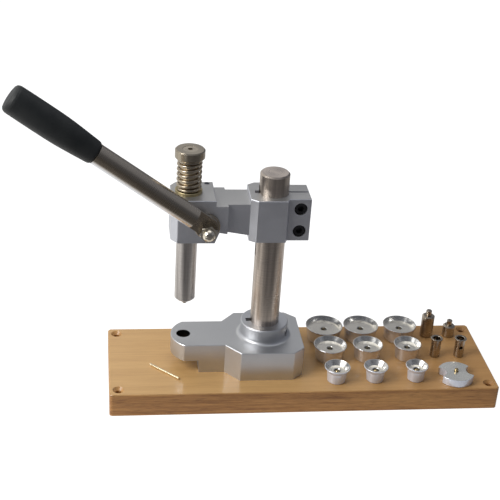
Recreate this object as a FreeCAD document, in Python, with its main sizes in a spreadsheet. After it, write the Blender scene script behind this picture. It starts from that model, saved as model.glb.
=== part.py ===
import FreeCAD, Part
import math
import os
import Sketcher
from FreeCAD import Vector, Rotation, Placement

# Bench press for closing watch cases: a wooden base board carries an aluminium
# foot with a socketed tongue, a ground steel column, an aluminium arm clamped
# on the column, and a spring-returned ram driven by a rack and pinion from a
# long hand lever.  Cup dies, adapters and sleeves stand on the board.
# Units are millimetres.  +Z is up, +X runs along the board towards the dies,
# -Y is the side the lever is on.  The origin is the centre of the board's
# underside.

doc = FreeCAD.newDocument("watch_case_press")
sheet = doc.addObject("Spreadsheet::Sheet", "Dims")

DIMS = [
    # base board
    ("board_length", 341.0, "board, along X"),
    ("board_width", 106.0, "board, along Y"),
    ("board_thick", 21.0, "board thickness"),
    ("board_corner", 3.0, "radius of the board's upright corners"),
    ("corner_pitch_x", 325.6, "corner screw holes, centre to centre along X"),
    ("corner_pitch_y", 89.2, "corner screw holes, centre to centre along Y"),
    ("corner_hole_dia", 5.0, "corner screw hole"),
    ("corner_sink_dia", 10.0, "corner countersink"),
    # column
    ("column_x", -34.8, "column axis along the board"),
    ("column_dia", 25.0, "ground steel column"),
    ("column_height", 183.0, "column top above the board's top face"),
    ("column_chamfer", 1.3, "chamfer on the column's top edge"),
    ("fit_gap", 0.05, "radial running clearance"),
    ("key_width", 5.0, "keyway width"),
    ("key_depth", 2.4, "keyway depth in the column"),
    ("key_reach", 15.9, "keyway outer wall from the column axis"),
    # foot
    ("foot_height", 27.6, "foot above the board"),
    ("foot_left", -35.5, "foot's left face from the column axis"),
    ("foot_right", 33.0, "foot's right face from the column axis"),
    ("foot_half", 34.2, "half depth of the foot"),
    ("foot_left_run", 12.4, "left chamfers along X"),
    ("foot_right_run", 9.6, "right chamfers along X"),
    ("foot_right_rise", 8.7, "right chamfers along Y"),
    ("tongue_half", 20.1, "half width of the tongue"),
    ("tongue_thick", 15.7, "tongue thickness"),
    ("tongue_nose", -81.9, "tip of the tongue from the column axis"),
    ("rib_left", -58.0, "left face of the rib under the tongue"),
    ("socket_dia", 12.3, "die socket in the tongue"),
    ("boss_dia", 41.6, "boss around the column"),
    ("boss_height", 13.65, "boss above the foot"),
    ("boss_fillet", 3.6, "cove at the boss's root"),
    ("edge_ease", 0.45, "small chamfer on the machined edges of foot and arm"),
    # ram and guides
    ("ram_x", -70.93, "ram axis from the column axis"),
    ("ram_dia", 17.6, "ram body"),
    ("ram_bottom", 63.9, "ram's lower end above the board"),
    ("ram_shoulder", 168.0, "where the ram steps down inside the spring"),
    ("ram_neck_dia", 15.9, "ram inside the spring"),
    ("ram_top", 194.8, "ram's upper end under the cap"),
    ("ram_chamfer", 1.7, "chamfer on the ram's lower edge"),
    ("bush_dia", 21.2, "guide bush barrel"),
    ("bush_flange_dia", 22.6, "flange of the upper guide bush"),
    ("bush_flange", 2.5, "flange thickness"),
    ("upper_bush_low", 153.6, "lower end of the upper guide bush"),
    ("lower_bush_top", 133.2, "upper end of the lower guide bush"),
    ("cap_dia", 24.8, "ram cap"),
    ("cap_top", 203.1, "top of the ram cap"),
    ("cap_under", 195.0, "underside of the cap's wide part"),
    ("cap_boss_dia", 20.6, "boss under the cap that the spring bears on"),
    ("cap_boss_low", 192.9, "lower face of that boss"),
    ("cap_recess_dia", 12.6, "countersink in the cap"),
    ("cap_screw_dia", 12.0, "head of the countersunk cap screw"),
    ("spring_dia", 21.0, "outside of the return spring"),
    ("spring_wire", 2.3, "spring wire"),
    ("tip_dia", 4.4, "threaded tip in the ram's end"),
    ("tip_out", 4.65, "how far the tip stands out"),
    # arm
    ("arm_low", 126.6, "underside of the arm's head above the board"),
    ("arm_top", 165.15, "top of the arm's head above the board"),
    ("arm_half", 18.9, "half depth of head and shoulder"),
    ("head_left", -85.75, "left face of the head from the column axis"),
    ("head_right", -49.5, "right face of the head"),
    ("shoulder_right", -39.3, "right end of the shoulder"),
    ("neck_top", 160.06, "top of shoulder and neck"),
    ("neck_half", 14.7, "half depth of neck and ears"),
    ("clamp_left", -20.8, "left face of the clamp"),
    ("clamp_right", 29.8, "right face of the ears"),
    ("slit_width", 2.0, "slit between the ears"),
    ("clamp_screw_x", 21.2, "clamp screws from the column axis"),
    ("clamp_screw_high", 156.0, "upper clamp screw above the board"),
    ("clamp_screw_low", 135.8, "lower clamp screw above the board"),
    ("clamp_bore_dia", 11.0, "counterbores for the clamp screws"),
    ("clamp_head_dia", 10.0, "socket heads of the clamp screws"),
    # pinion and lever
    ("pivot_x", -56.46, "pinion axis from the column axis"),
    ("pivot_z", 143.4, "pinion axis above the board"),
    ("gear_module", 1.0, "module of pinion and rack"),
    ("gear_teeth", 16, "teeth on the pinion"),
    ("gear_width", 12.0, "width of the toothed part"),
    ("gear_backlash", 0.16, "tooth thickness taken off pinion and rack"),
    ("pinion_bore_dia", 19.2, "cross bore for pinion and bearing bushes"),
    ("journal_dia", 12.0, "pinion journals"),
    ("hub_dia", 21.4, "flange behind the lever"),
    ("hub_gap", 0.2, "gap between arm and flange"),
    ("hub_front", 22.3, "front face of the flange from the arm's middle plane"),
    ("drive_square", 8.5, "square that turns the pinion"),
    ("lever_plane", 28.5, "lever axis in front of the arm's middle plane"),
    ("lever_flat", 30.0, "flat that the nut seats on"),
    ("lever_dia", 17.4, "lever rod"),
    ("lever_offset", -2.45, "lever axis from the pinion axis, across the lever"),
    ("lever_angle", 35.4, "lever above the horizontal at rest, degrees"),
    ("lever_shoulder", 15.9, "end of the flat from the pinion axis"),
    ("lever_end", 178.0, "end of the rod inside the grip"),
    ("tang_dia", 12.0, "rod inside the grip"),
    ("grip_start", 112.7, "inner end of the grip from the pinion axis"),
    ("grip_finish", 191.3, "outer end of the grip from the pinion axis"),
    ("nut_flats", 13.0, "acorn nut across flats"),
    # dies and tools
    ("die_height", 14.3, "height of the cup dies"),
    ("die_recess", 4.15, "depth of a die's cup"),
    ("die_hole_dia", 5.6, "hole through a die"),
    ("peg_dia", 3.2, "pegs that the dies stand over"),
    ("peg_height", 9.8, "pegs of the front row and the notched disc, above the board"),
    ("peg_height_back", 5.0, "pegs of the middle and back rows, above the board"),
    ("peg_depth", 8.0, "peg in the board"),
    ("row_back", 32.8, "back row of dies, Y"),
    ("row_middle", 0.0, "middle row of dies, Y"),
    ("row_front", -35.6, "front row of dies, Y"),
    ("die_col_a", 61.8, "first column of dies from the column axis"),
    ("die_col_b", 96.2, "second column of dies"),
    ("die_col_c", 133.0, "third column of dies"),
    ("disc_dia", 31.4, "notched disc"),
    ("disc_thick", 7.0, "notched disc thickness"),
    ("sleeve_height", 18.9, "flanged sleeves"),
    ("sleeve_dia", 8.9, "sleeve barrel"),
    ("sleeve_flange_dia", 10.9, "sleeve flange"),
    ("sleeve_bore_dia", 7.0, "sleeve bore"),
    ("sleeve_cross_dia", 3.6, "cross hole in a sleeve"),
    ("bar_dia", 2.0, "loose tommy bar"),
    ("bar_length", 33.4, "tommy bar length"),
]
for row, (alias, value, note) in enumerate(DIMS, start=1):
    sheet.set("A%d" % row, alias)
    sheet.set("B%d" % row, repr(value))
    sheet.set("C%d" % row, note)
    sheet.setAlias("B%d" % row, alias)
doc.recompute()
D = {alias: float(value) for alias, value, note in DIMS}


def num(expression):
    """Value of a number or of an expression over the sheet."""
    if isinstance(expression, (int, float)):
        return float(expression)
    return float(sheet.evalExpression(expression))


def bound(expression):
    """The same expression as another object refers to it."""
    out = expression
    for alias in sorted(D, key=len, reverse=True):
        start = 0
        while True:
            k = out.find(alias, start)
            if k < 0:
                break
            before = out[k - 1] if k else " "
            after = out[k + len(alias)] if k + len(alias) < len(out) else " "
            if before.isalnum() or before in "_." or after.isalnum() or after == "_":
                start = k + len(alias)
                continue
            out = out[:k] + "Dims." + alias + out[k + len(alias):]
            start = k + len(alias) + 5
    return out


def bind(obj, prop, expression, factor_unit=""):
    if isinstance(expression, (int, float)):
        return
    obj.setExpression(prop, bound(expression) + factor_unit)


def place(obj, x=0.0, y=0.0, z=0.0, rotation=None):
    obj.Placement = Placement(Vector(num(x), num(y), num(z)), rotation or Rotation())
    for axis, e in zip("xyz", (x, y, z)):
        bind(obj, "Placement.Base." + axis, e)


FRONT = Rotation(Vector(1, 0, 0), 90)  # local Z turns to -Y, local Y to +Z


def body(name, x=0.0, y=0.0, z=0.0, rotation=None):
    b = doc.addObject("PartDesign::Body", name)
    b.Label = name
    place(b, x, y, z, rotation)
    return b


def origin_plane(b, role):
    return next(f for f in b.Origin.OriginFeatures if f.Role == role)


def sketch(b, role="XY_Plane", offset=0.0):
    s = b.newObject("Sketcher::SketchObject", b.Label + "_sketch")
    s.AttachmentSupport = (origin_plane(b, role), [""])
    s.MapMode = "FlatFace"
    s.AttachmentOffset = Placement(Vector(0, 0, num(offset)), Rotation())
    bind(s, "AttachmentOffset.Base.z", offset)
    return s


def pin_point(s, geo, pos, x, y):
    for kind, e in (("DistanceX", x), ("DistanceY", y)):
        v = num(e)
        if isinstance(e, (int, float)) and abs(v) < 1e-9:
            s.addConstraint(Sketcher.Constraint("PointOnObject", geo, pos, -2 if kind == "DistanceX" else -1))
            continue
        n = s.addConstraint(Sketcher.Constraint(kind, -1, 1, geo, pos, v))
        if not isinstance(e, (int, float)):
            label = "d%d" % n
            s.renameConstraint(n, label)
            s.setExpression("Constraints." + label, bound(e))


def polygon(s, points):
    """Closed outline through the points, each pinned to its sheet sizes."""
    first = s.GeometryCount
    n = len(points)
    xy = [(num(x), num(y)) for x, y in points]
    for i in range(n):
        a, c = xy[i], xy[(i + 1) % n]
        s.addGeometry(Part.LineSegment(Vector(a[0], a[1], 0), Vector(c[0], c[1], 0)), False)
    for i in range(n):
        s.addConstraint(Sketcher.Constraint("Coincident", first + i, 2, first + (i + 1) % n, 1))
    for i, (x, y) in enumerate(points):
        pin_point(s, first + i, 1, x, y)
    return s


def circle(s, x, y, dia):
    g = s.addGeometry(Part.Circle(Vector(num(x), num(y), 0), Vector(0, 0, 1), num(dia) / 2.0), False)
    n = s.addConstraint(Sketcher.Constraint("Diameter", g, num(dia)))
    if not isinstance(dia, (int, float)):
        s.renameConstraint(n, "dia%d" % n)
        s.setExpression("Constraints.dia%d" % n, bound(dia))
    pin_point(s, g, 3, x, y)
    return s


def pad(b, s, length, midplane=False, backward=False):
    f = b.newObject("PartDesign::Pad", b.Label + "_pad")
    f.Profile = s
    f.Length = num(length)
    bind(f, "Length", length)
    f.SideType = "Symmetric" if midplane else "One side"
    f.Reversed = backward
    s.Visibility = False
    doc.recompute()
    return f


def pocket(b, s, length, midplane=False, backward=False):
    before = b.Shape.Volume
    f = b.newObject("PartDesign::Pocket", b.Label + "_pocket")
    f.Profile = s
    f.Length = num(length)
    bind(f, "Length", length)
    f.SideType = "Symmetric" if midplane else "One side"
    f.Reversed = backward
    s.Visibility = False
    doc.recompute()
    if b.Shape.Volume > before - 1e-3:
        raise RuntimeError("%s: a pocket removed nothing" % b.Label)
    return f


def revolve(b, s):
    f = b.newObject("PartDesign::Revolution", b.Label + "_revolution")
    f.Profile = s
    f.ReferenceAxis = (s, ["V_Axis"])
    f.Angle = 360.0
    doc.recompute()
    return f


def groove(b, s):
    before = b.Shape.Volume
    f = b.newObject("PartDesign::Groove", b.Label + "_groove")
    f.Profile = s
    f.ReferenceAxis = (s, ["V_Axis"])
    f.Angle = 360.0
    doc.recompute()
    if b.Shape.Volume > before - 1e-3:
        raise RuntimeError("%s: a groove removed nothing" % b.Label)
    return f


def turned(name, profile, x=0.0, y=0.0, z=0.0, rotation=None):
    """A piece turned on a lathe: profile of (radius, height) points."""
    b = body(name, x, y, z, rotation)
    revolve(b, polygon(sketch(b, "XZ_Plane"), profile))
    return b


def edges_at(shape, test):
    return ["Edge%d" % (i + 1) for i, e in enumerate(shape.Edges) if test(e)]


def dress(b, kind, names, size):
    """Fillet or chamfer on the tip's edges."""
    tip = b.Tip
    f = b.newObject("PartDesign::" + kind, b.Label + "_" + kind.lower())
    f.Base = (tip, names)
    if kind == "Fillet":
        f.Radius = num(size)
        bind(f, "Radius", size)
    else:
        f.Size = num(size)
        bind(f, "Size", size)
    doc.recompute()
    return f


# ---------------------------------------------------------------- base board
board = body("base_board")
pad(board, polygon(sketch(board), [
    ("-board_length/2", "-board_width/2"), ("board_length/2", "-board_width/2"),
    ("board_length/2", "board_width/2"), ("-board_length/2", "board_width/2")]), "board_thick")
dress(board, "Fillet", edges_at(board.Tip.Shape, lambda e: abs(e.Vertexes[0].Z - e.Vertexes[-1].Z) > 1.0), "board_corner")
dress(board, "Chamfer", edges_at(board.Tip.Shape, lambda e: all(abs(v.Z - D["board_thick"]) < 1e-6 for v in e.Vertexes)), 0.7)
corner_holes = sketch(board)
for sx in ("-", ""):
    for sy in ("-", ""):
        circle(corner_holes, sx + "corner_pitch_x/2", sy + "corner_pitch_y/2", "corner_hole_dia")
pocket(board, corner_holes, "board_thick", backward=True)
# countersinks, each a short cone down from the top face
for sx in (-1, 1):
    for sy in (-1, 1):
        sink = sketch(board, "XZ_Plane", offset="%scorner_pitch_y/2" % ("-" if sy > 0 else ""))
        cx = "%scorner_pitch_x/2" % ("-" if sx < 0 else "")
        polygon(sink, [
            (cx, "board_thick-(corner_sink_dia-corner_hole_dia)/2-0.5"),
            (cx + "+corner_hole_dia/2-0.5", "board_thick-(corner_sink_dia-corner_hole_dia)/2-0.5"),
            (cx + "+corner_sink_dia/2+0.5", "board_thick+0.5"), (cx, "board_thick+0.5")])
        before = board.Shape.Volume
        g = board.newObject("PartDesign::Groove", "base_board_countersink")
        g.Profile = sink
        axis_line = sink.addGeometry(Part.LineSegment(Vector(num(cx), 0, 0), Vector(num(cx), 10, 0)), True)
        pin_point(sink, axis_line, 1, cx, 0.0)
        pin_point(sink, axis_line, 2, cx, 10.0)
        g.ReferenceAxis = (sink, ["Axis0"])
        g.Angle = 360.0
        doc.recompute()
        if board.Shape.Volume > before - 1e-3:
            raise RuntimeError("countersink removed nothing")
# counterbored holes for the screws that hold the foot from below
FOOT_SCREWS = [(-20.0, -24.0), (-20.0, 24.0), (20.0, -24.0), (20.0, 24.0)]
wide = sketch(board)
narrow = sketch(board)
for fx, fy in FOOT_SCREWS:
    circle(wide, "column_x%+g" % fx, fy, 11.0)
    circle(narrow, "column_x%+g" % fx, fy, 6.6)
pocket(board, wide, 7.0, backward=True)
pocket(board, narrow, "board_thick", backward=True)
# holes for the pegs
COLS = ("die_col_a", "die_col_b", "die_col_c")
ROWS = ("row_back", "row_middle", "row_front")
DISC_X, DISC_Y = "169.5", "row_front"
peg_spots = [(c, r) for r in ROWS for c in COLS] + [(DISC_X, DISC_Y)]
peg_holes = sketch(board, offset="board_thick-peg_depth")
for px, py in peg_spots:
    circle(peg_holes, "column_x+" + px, py, "peg_dia")
pocket(board, peg_holes, "peg_depth+1", backward=True)

# ---------------------------------------------------------------- foot block
foot = body("foot_block", "column_x", 0.0, "board_thick")
pad(foot, polygon(sketch(foot), [
    ("foot_left", "-tongue_half"), ("foot_left+foot_left_run", "-foot_half"),
    ("foot_right-foot_right_run", "-foot_half"), ("foot_right", "-foot_half+foot_right_rise"),
    ("foot_right", "foot_half-foot_right_rise"), ("foot_right-foot_right_run", "foot_half"),
    ("foot_left+foot_left_run", "foot_half"), ("foot_left", "tongue_half")]), "foot_height")
# tongue: parallel sides that end in an arc under the ram
tongue = sketch(foot, offset="foot_height-tongue_thick")
nose = D["ram_x"] - D["tongue_nose"]
nose_r = (D["tongue_half"] ** 2 + nose ** 2) / (2 * nose)
half, rx, root = D["tongue_half"], D["ram_x"], D["foot_left"] + 5.0
tongue.addGeometry(Part.LineSegment(Vector(rx, -half, 0), Vector(root, -half, 0)), False)
tongue.addGeometry(Part.LineSegment(Vector(root, -half, 0), Vector(root, half, 0)), False)
tongue.addGeometry(Part.LineSegment(Vector(root, half, 0), Vector(rx, half, 0)), False)
nose_c = D["tongue_nose"] + nose_r
nose_a = math.atan2(half, nose_c - rx)
tongue.addGeometry(Part.ArcOfCircle(Part.Circle(Vector(nose_c, 0, 0), Vector(0, 0, 1), nose_r), math.pi - nose_a, math.pi + nose_a), False)
a_start = 1
tongue.addConstraint([
    Sketcher.Constraint("Coincident", 0, 2, 1, 1), Sketcher.Constraint("Coincident", 1, 2, 2, 1),
    Sketcher.Constraint("Coincident", 2, 2, 3, a_start), Sketcher.Constraint("Coincident", 0, 1, 3, 3 - a_start)])
pin_point(tongue, 0, 1, "ram_x", "-tongue_half")
pin_point(tongue, 1, 1, "foot_left+5", "-tongue_half")
pin_point(tongue, 2, 1, "foot_left+5", "tongue_half")
pin_point(tongue, 2, 2, "ram_x", "tongue_half")
n = tongue.addConstraint(Sketcher.Constraint("Radius", 3, nose_r))
tongue.renameConstraint(n, "nose")
tongue.setExpression("Constraints.nose", bound("(tongue_half*tongue_half+(ram_x-tongue_nose)*(ram_x-tongue_nose))/(2*(ram_x-tongue_nose))"))
pad(foot, tongue, "tongue_thick")
pad(foot, polygon(sketch(foot), [
    ("rib_left", "-tongue_half"), ("foot_left+5", "-tongue_half"),
    ("foot_left+5", "tongue_half"), ("rib_left", "tongue_half")]), "foot_height-tongue_thick+1")
# ease the top outline and the outer upright edges
TOP = D["foot_height"]
dress(foot, "Chamfer", edges_at(foot.Tip.Shape, lambda e: (
    all(abs(v.Z - TOP) < 1e-6 for v in e.Vertexes)
    or (len(e.Vertexes) == 2 and abs(e.Vertexes[0].Z - e.Vertexes[1].Z) > 5.0
        and (e.Vertexes[0].X > -34.0 or e.Vertexes[0].X < -60.0)))), "edge_ease")
# boss with a cove at its root and an eased rim
boss = sketch(foot, "XZ_Plane")
cove = D["boss_fillet"]
bx, bz = D["boss_dia"] / 2, D["foot_height"]
top_z = bz + D["boss_height"]
lines = [((0, bz - 2), (bx + cove, bz - 2)), ((bx + cove, bz - 2), (bx + cove, bz)),
         None, ((bx, bz + cove), (bx, top_z - 0.8)), ((bx, top_z - 0.8), (bx - 0.8, top_z)),
         ((bx - 0.8, top_z), (0, top_z)), ((0, top_z), (0, bz - 2))]
for item in lines:
    if item is None:
        boss.addGeometry(Part.ArcOfCircle(Part.Circle(Vector(bx + cove, bz + cove, 0), Vector(0, 0, 1), cove),
                                          math.pi, 1.5 * math.pi), False)
    else:
        boss.addGeometry(Part.LineSegment(Vector(item[0][0], item[0][1], 0), Vector(item[1][0], item[1][1], 0)), False)
c_low = 2
for i, j in ((0, 1), (3, 4), (4, 5), (5, 6), (6, 0)):
    boss.addConstraint(Sketcher.Constraint("Coincident", i, 2, j, 1))
boss.addConstraint(Sketcher.Constraint("Coincident", 1, 2, 2, c_low))
boss.addConstraint(Sketcher.Constraint("Coincident", 2, 3 - c_low, 3, 1))
pin_point(boss, 0, 1, 0.0, "foot_height-2")
pin_point(boss, 1, 1, "boss_dia/2+boss_fillet", "foot_height-2")
pin_point(boss, 1, 2, "boss_dia/2+boss_fillet", "foot_height")
pin_point(boss, 3, 1, "boss_dia/2", "foot_height+boss_fillet")
pin_point(boss, 3, 2, "boss_dia/2", "foot_height+boss_height-0.8")
pin_point(boss, 4, 2, "boss_dia/2-0.8", "foot_height+boss_height")
pin_point(boss, 5, 2, 0.0, "foot_height+boss_height")
n = boss.addConstraint(Sketcher.Constraint("Radius", 2, cove))
boss.renameConstraint(n, "cove")
boss.setExpression("Constraints.cove", bound("boss_fillet"))
revolve(foot, boss)
pocket(foot, circle(sketch(foot), 0.0, 0.0, "column_dia+2*fit_gap"), "foot_height+boss_height+1", backward=True)
pocket(foot, circle(sketch(foot), "ram_x", 0.0, "socket_dia"), "foot_height+1", backward=True)
pocket(foot, polygon(sketch(foot, offset=2.0), [
    ("-key_reach-0.6", "-key_width/2"), ("-10", "-key_width/2"), ("-10", "key_width/2"), ("-key_reach-0.6", "key_width/2")]),
    "foot_height+boss_height", backward=True)
tapped = sketch(foot)
for fx, fy in FOOT_SCREWS:
    circle(tapped, fx, fy, 6.0)
pocket(foot, tapped, 16.0, backward=True)
# radial hole for the grub screw that bears on the column
GRUB_ANGLE = -26.0
grub_hole = foot.newObject("Sketcher::SketchObject", "foot_block_grub")
grub_hole.AttachmentSupport = (origin_plane(foot, "YZ_Plane"), [""])
grub_hole.MapMode = "FlatFace"
grub_hole.AttachmentOffset = Placement(Vector(0, 0, 0), Rotation(Vector(0, 1, 0), GRUB_ANGLE))
circle(grub_hole, 0.0, "foot_height+5.2", 6.0)
doc.recompute()
pocket(foot, grub_hole, 32.0, backward=True)

foot_screw_parts = []
for i, (fx, fy) in enumerate(FOOT_SCREWS):
    shank = doc.addObject("Part::Cylinder", "foot_screw_shank_%d" % i)
    shank.Radius, shank.Height = 2.95, 27.5
    place(shank, "column_x%+g" % fx, fy, 1.0)
    head = doc.addObject("Part::Cylinder", "foot_screw_head_%d" % i)
    head.Radius, head.Height = 5.0, 6.0
    place(head, "column_x%+g" % fx, fy, 0.9)
    both = doc.addObject("Part::Fuse", "foot_screw_blank_%d" % i)
    both.Base, both.Tool = head, shank
    key = doc.addObject("Part::Prism", "foot_screw_key_%d" % i)
    key.Polygon, key.Circumradius, key.Height = 6, 2.9, 3.2
    place(key, "column_x%+g" % fx, fy, 0.7)
    cut = doc.addObject("Part::Cut", "foot_screw_%d" % i)
    cut.Base, cut.Tool = both, key
    foot_screw_parts.append(cut)
foot_screws = doc.addObject("Part::Compound", "foot_screws")
foot_screws.Label = "foot_screws"
foot_screws.Links = foot_screw_parts

# -------------------------------------------------------------------- column
column = turned("column", [
    (0.0, 0.0), ("column_dia/2-0.8", 0.0), ("column_dia/2", 0.8), ("column_dia/2", "column_height-column_chamfer"),
    ("column_dia/2-column_chamfer", "column_height"), (0.0, "column_height")], "column_x", 0.0, "board_thick")
# one keyway hidden in the foot, one behind the arm's travel
for low, high in ((2.0, 36.5), (106.0, 171.5)):
    pocket(column, polygon(sketch(column, offset=low), [
        ("-column_dia/2-1", "-key_width/2"), ("-column_dia/2+key_depth", "-key_width/2"),
        ("-column_dia/2+key_depth", "key_width/2"), ("-column_dia/2-1", "key_width/2")]), high - low, backward=True)


def box(name, length, width, height, x, y, z):
    o = doc.addObject("Part::Box", name)
    o.Label = name
    o.Length, o.Width, o.Height = num(length), num(width), num(height)
    bind(o, "Length", length)
    bind(o, "Width", width)
    bind(o, "Height", height)
    place(o, x, y, z)
    return o


foot_key = box("foot_key", "key_reach+0.4-column_dia/2+key_depth-0.1", "key_width-0.1", 34.2,
               "column_x-key_reach-0.4", "-key_width/2+0.05", "board_thick+2.1")
arm_key = box("arm_key", "key_reach-0.15-column_dia/2+key_depth-0.1", "key_width-0.1", 29.0,
              "column_x-key_reach+0.15", "-key_width/2+0.05", "board_thick+131")


def hex_screw(name, radius, length, socket, head_radius=0.0, head_length=0.0, socket_depth=3.0, dome=0.35):
    """Socket screw along local Z, its driven end at local Z = 0, body below."""
    if head_radius:
        profile = [(0.0, -length - head_length), (radius - 0.5, -length - head_length), (radius, -length - head_length + 0.5),
                   (radius, -head_length), (head_radius, -head_length), (head_radius, -dome), (head_radius - dome, 0.0), (0.0, 0.0)]
    else:
        profile = [(0.0, -length), (radius - 0.6, -length), (radius, -length + 0.6), (radius, -dome), (radius - dome, 0.0), (0.0, 0.0)]
    return profile


def screw(name, profile, socket, depth, x, y, z, rotation=None):
    b = turned(name, profile, x, y, z, rotation)
    s = sketch(b)
    r = socket / math.sqrt(3.0)
    polygon(s, [(r * math.cos(math.radians(60 * k)), r * math.sin(math.radians(60 * k))) for k in range(6)])
    pocket(b, s, depth)
    return b


ca, sa = math.cos(math.radians(GRUB_ANGLE)), math.sin(math.radians(GRUB_ANGLE))
grub_out = 18.6
column_grub_screw = screw("column_grub_screw", hex_screw("g", 2.95, 6.0, 3.0), 3.0, 2.6,
                          "column_x+%g" % (grub_out * ca), grub_out * sa, "board_thick+foot_height+5.2",
                          Rotation(Vector(0, 0, 1), GRUB_ANGLE) * Rotation(Vector(0, 1, 0), 90))

# ----------------------------------------------------------------------- arm
arm = body("press_arm", "column_x", 0.0, "board_thick")
pad(arm, polygon(sketch(arm, offset="arm_low"), [
    ("head_left", "-arm_half+6.7"), ("head_left+5.2", "-arm_half"), ("head_right", "-arm_half"),
    ("head_right", "arm_half"), ("head_left+5.2", "arm_half"), ("head_left", "arm_half-6.7")]), "arm_top-arm_low")
pad(arm, polygon(sketch(arm, "XZ_Plane"), [
    ("head_right-4", "arm_low"), ("head_right", "arm_low"), ("head_right+3.6", 136.2),
    ("shoulder_right", 135.1), ("shoulder_right", "neck_top"), ("head_right-4", "neck_top")]), "2*arm_half", midplane=True)
pad(arm, polygon(sketch(arm, offset=127.0), [
    ("clamp_left", "-neck_half"), (-14.9, "-arm_half"), (9.7, "-arm_half"), (11.5, "-neck_half"),
    ("clamp_right", "-neck_half"), ("clamp_right", "neck_half"), (11.5, "neck_half"), (9.7, "arm_half"),
    (-14.9, "arm_half"), ("clamp_left", "neck_half")]), 37.9)
pad(arm, polygon(sketch(arm, "XZ_Plane"), [
    ("shoulder_right-2", 135.4), ("clamp_left+2", 131.6), ("clamp_left+2", "neck_top"), ("shoulder_right-2", "neck_top")]),
    "2*neck_half", midplane=True)
# ease the head's upright edges and outline, and the outline of the clamp's top
def eased(e):
    if len(e.Vertexes) != 2:
        return False
    low, high = min(v.Z for v in e.Vertexes), max(v.Z for v in e.Vertexes)
    box_ = e.BoundBox
    if box_.XMax < D["head_right"] - 1.0:
        return high - low > 20.0 or abs(high - D["arm_low"]) < 1e-6 or abs(low - D["arm_top"]) < 1e-6
    if abs(low - D["arm_top"]) < 1e-6:
        return True
    return abs(low - 164.9) < 1e-6 and abs(high - 164.9) < 1e-6


dress(arm, "Chamfer", edges_at(arm.Tip.Shape, eased), "edge_ease")
pocket(arm, circle(sketch(arm, offset=120.0), 0.0, 0.0, "column_dia+2*fit_gap"), 60.0, backward=True)
pocket(arm, polygon(sketch(arm, offset=120.0), [
    ("-key_reach", "-key_width/2"), ("-10", "-key_width/2"), ("-10", "key_width/2"), ("-key_reach", "key_width/2")]), 60.0, backward=True)
pocket(arm, polygon(sketch(arm, offset=120.0), [
    (5.0, "-slit_width/2"), ("clamp_right+2", "-slit_width/2"), ("clamp_right+2", "slit_width/2"), (5.0, "slit_width/2")]), 60.0, backward=True)
# ram bore, wider where the bushes sit, and the cross bore of the pinion
pocket(arm, circle(sketch(arm, offset=120.0), "ram_x", 0.0, "ram_dia+0.6"), 60.0, backward=True)
pocket(arm, circle(sketch(arm, offset="upper_bush_low-0.1"), "ram_x", 0.0, "bush_dia"), 20.0, backward=True)
pocket(arm, circle(sketch(arm, offset="lower_bush_top+0.1"), "ram_x", 0.0, "bush_dia"), 10.0)
pocket(arm, circle(sketch(arm, "XZ_Plane"), "pivot_x", "pivot_z", "pinion_bore_dia"), "2*arm_half+4", midplane=True)
# clamp screws: clearance and counterbore in the front ear, thread in the rear
screws_front = sketch(arm, "XZ_Plane", offset="slit_width/2")
screws_rear = sketch(arm, "XZ_Plane")
bores = sketch(arm, "XZ_Plane", offset="neck_half-6.6")
for zz in ("clamp_screw_high", "clamp_screw_low"):
    circle(screws_front, "clamp_screw_x", zz, 6.6)
    circle(screws_rear, "clamp_screw_x", zz, 6.0)
    circle(bores, "clamp_screw_x", zz, "clamp_bore_dia")
pocket(arm, screws_front, 20.0, backward=True)
pocket(arm, screws_rear, 20.0, backward=False)
pocket(arm, bores, 12.0, backward=True)
# tapped hole from the top down to the rear bearing bush
pocket(arm, circle(sketch(arm, offset="pivot_z+6"), "pivot_x+1.9", 15.6, 4.6), 30.0, backward=True)


def spread(name, profile, spots, rotation, socket, depth):
    """Identical fasteners, made once and placed at each spot."""
    made = []
    for i, (x, y, z) in enumerate(spots):
        made.append(screw("%s_%d" % (name, i + 1), profile, socket, depth, x, y, z, rotation))
    group = doc.addObject("Part::Compound", name)
    group.Label = name
    group.Links = made
    return group


clamp_screws = spread("clamp_screws", hex_screw("c", 2.95, 20.0, 5.0, "x" and 5.0, 6.0), [
    ("column_x+clamp_screw_x", "-neck_half+0.6", "board_thick+clamp_screw_high"),
    ("column_x+clamp_screw_x", "-neck_half+0.6", "board_thick+clamp_screw_low")], FRONT, 5.0, 3.2)
bearing_set_screw = screw("bearing_set_screw", hex_screw("b", 2.25, 5.0, 2.5), 2.5, 2.2,
                          "column_x+pivot_x+1.9", 15.6, "board_thick+158.1")

# --------------------------------------------------------- guide bushes, ram
upper_guide_bush = turned("upper_guide_bush", [
    ("ram_dia/2+fit_gap", "upper_bush_low"), ("bush_dia/2-0.02", "upper_bush_low"), ("bush_dia/2-0.02", "arm_top"),
    ("bush_flange_dia/2", "arm_top"), ("bush_flange_dia/2", "arm_top+bush_flange-0.4"), ("bush_flange_dia/2-0.4", "arm_top+bush_flange"),
    ("ram_dia/2+fit_gap", "arm_top+bush_flange")], "column_x+ram_x", 0.0, "board_thick")
lower_guide_bush = turned("lower_guide_bush", [
    ("ram_dia/2+fit_gap", "arm_low"), ("bush_dia/2-0.02", "arm_low"), ("bush_dia/2-0.02", "lower_bush_top"),
    ("ram_dia/2+fit_gap", "lower_bush_top")], "column_x+ram_x", 0.0, "board_thick")

ram = turned("ram", [
    (0.0, "ram_bottom"), ("ram_dia/2-ram_chamfer", "ram_bottom"), ("ram_dia/2", "ram_bottom+ram_chamfer"),
    ("ram_dia/2", "ram_shoulder-0.5"), ("ram_dia/2-0.5", "ram_shoulder"), ("ram_neck_dia/2", "ram_shoulder"),
    ("ram_neck_dia/2", "ram_top"), (0.0, "ram_top")], "column_x+ram_x", 0.0, "board_thick")
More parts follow.
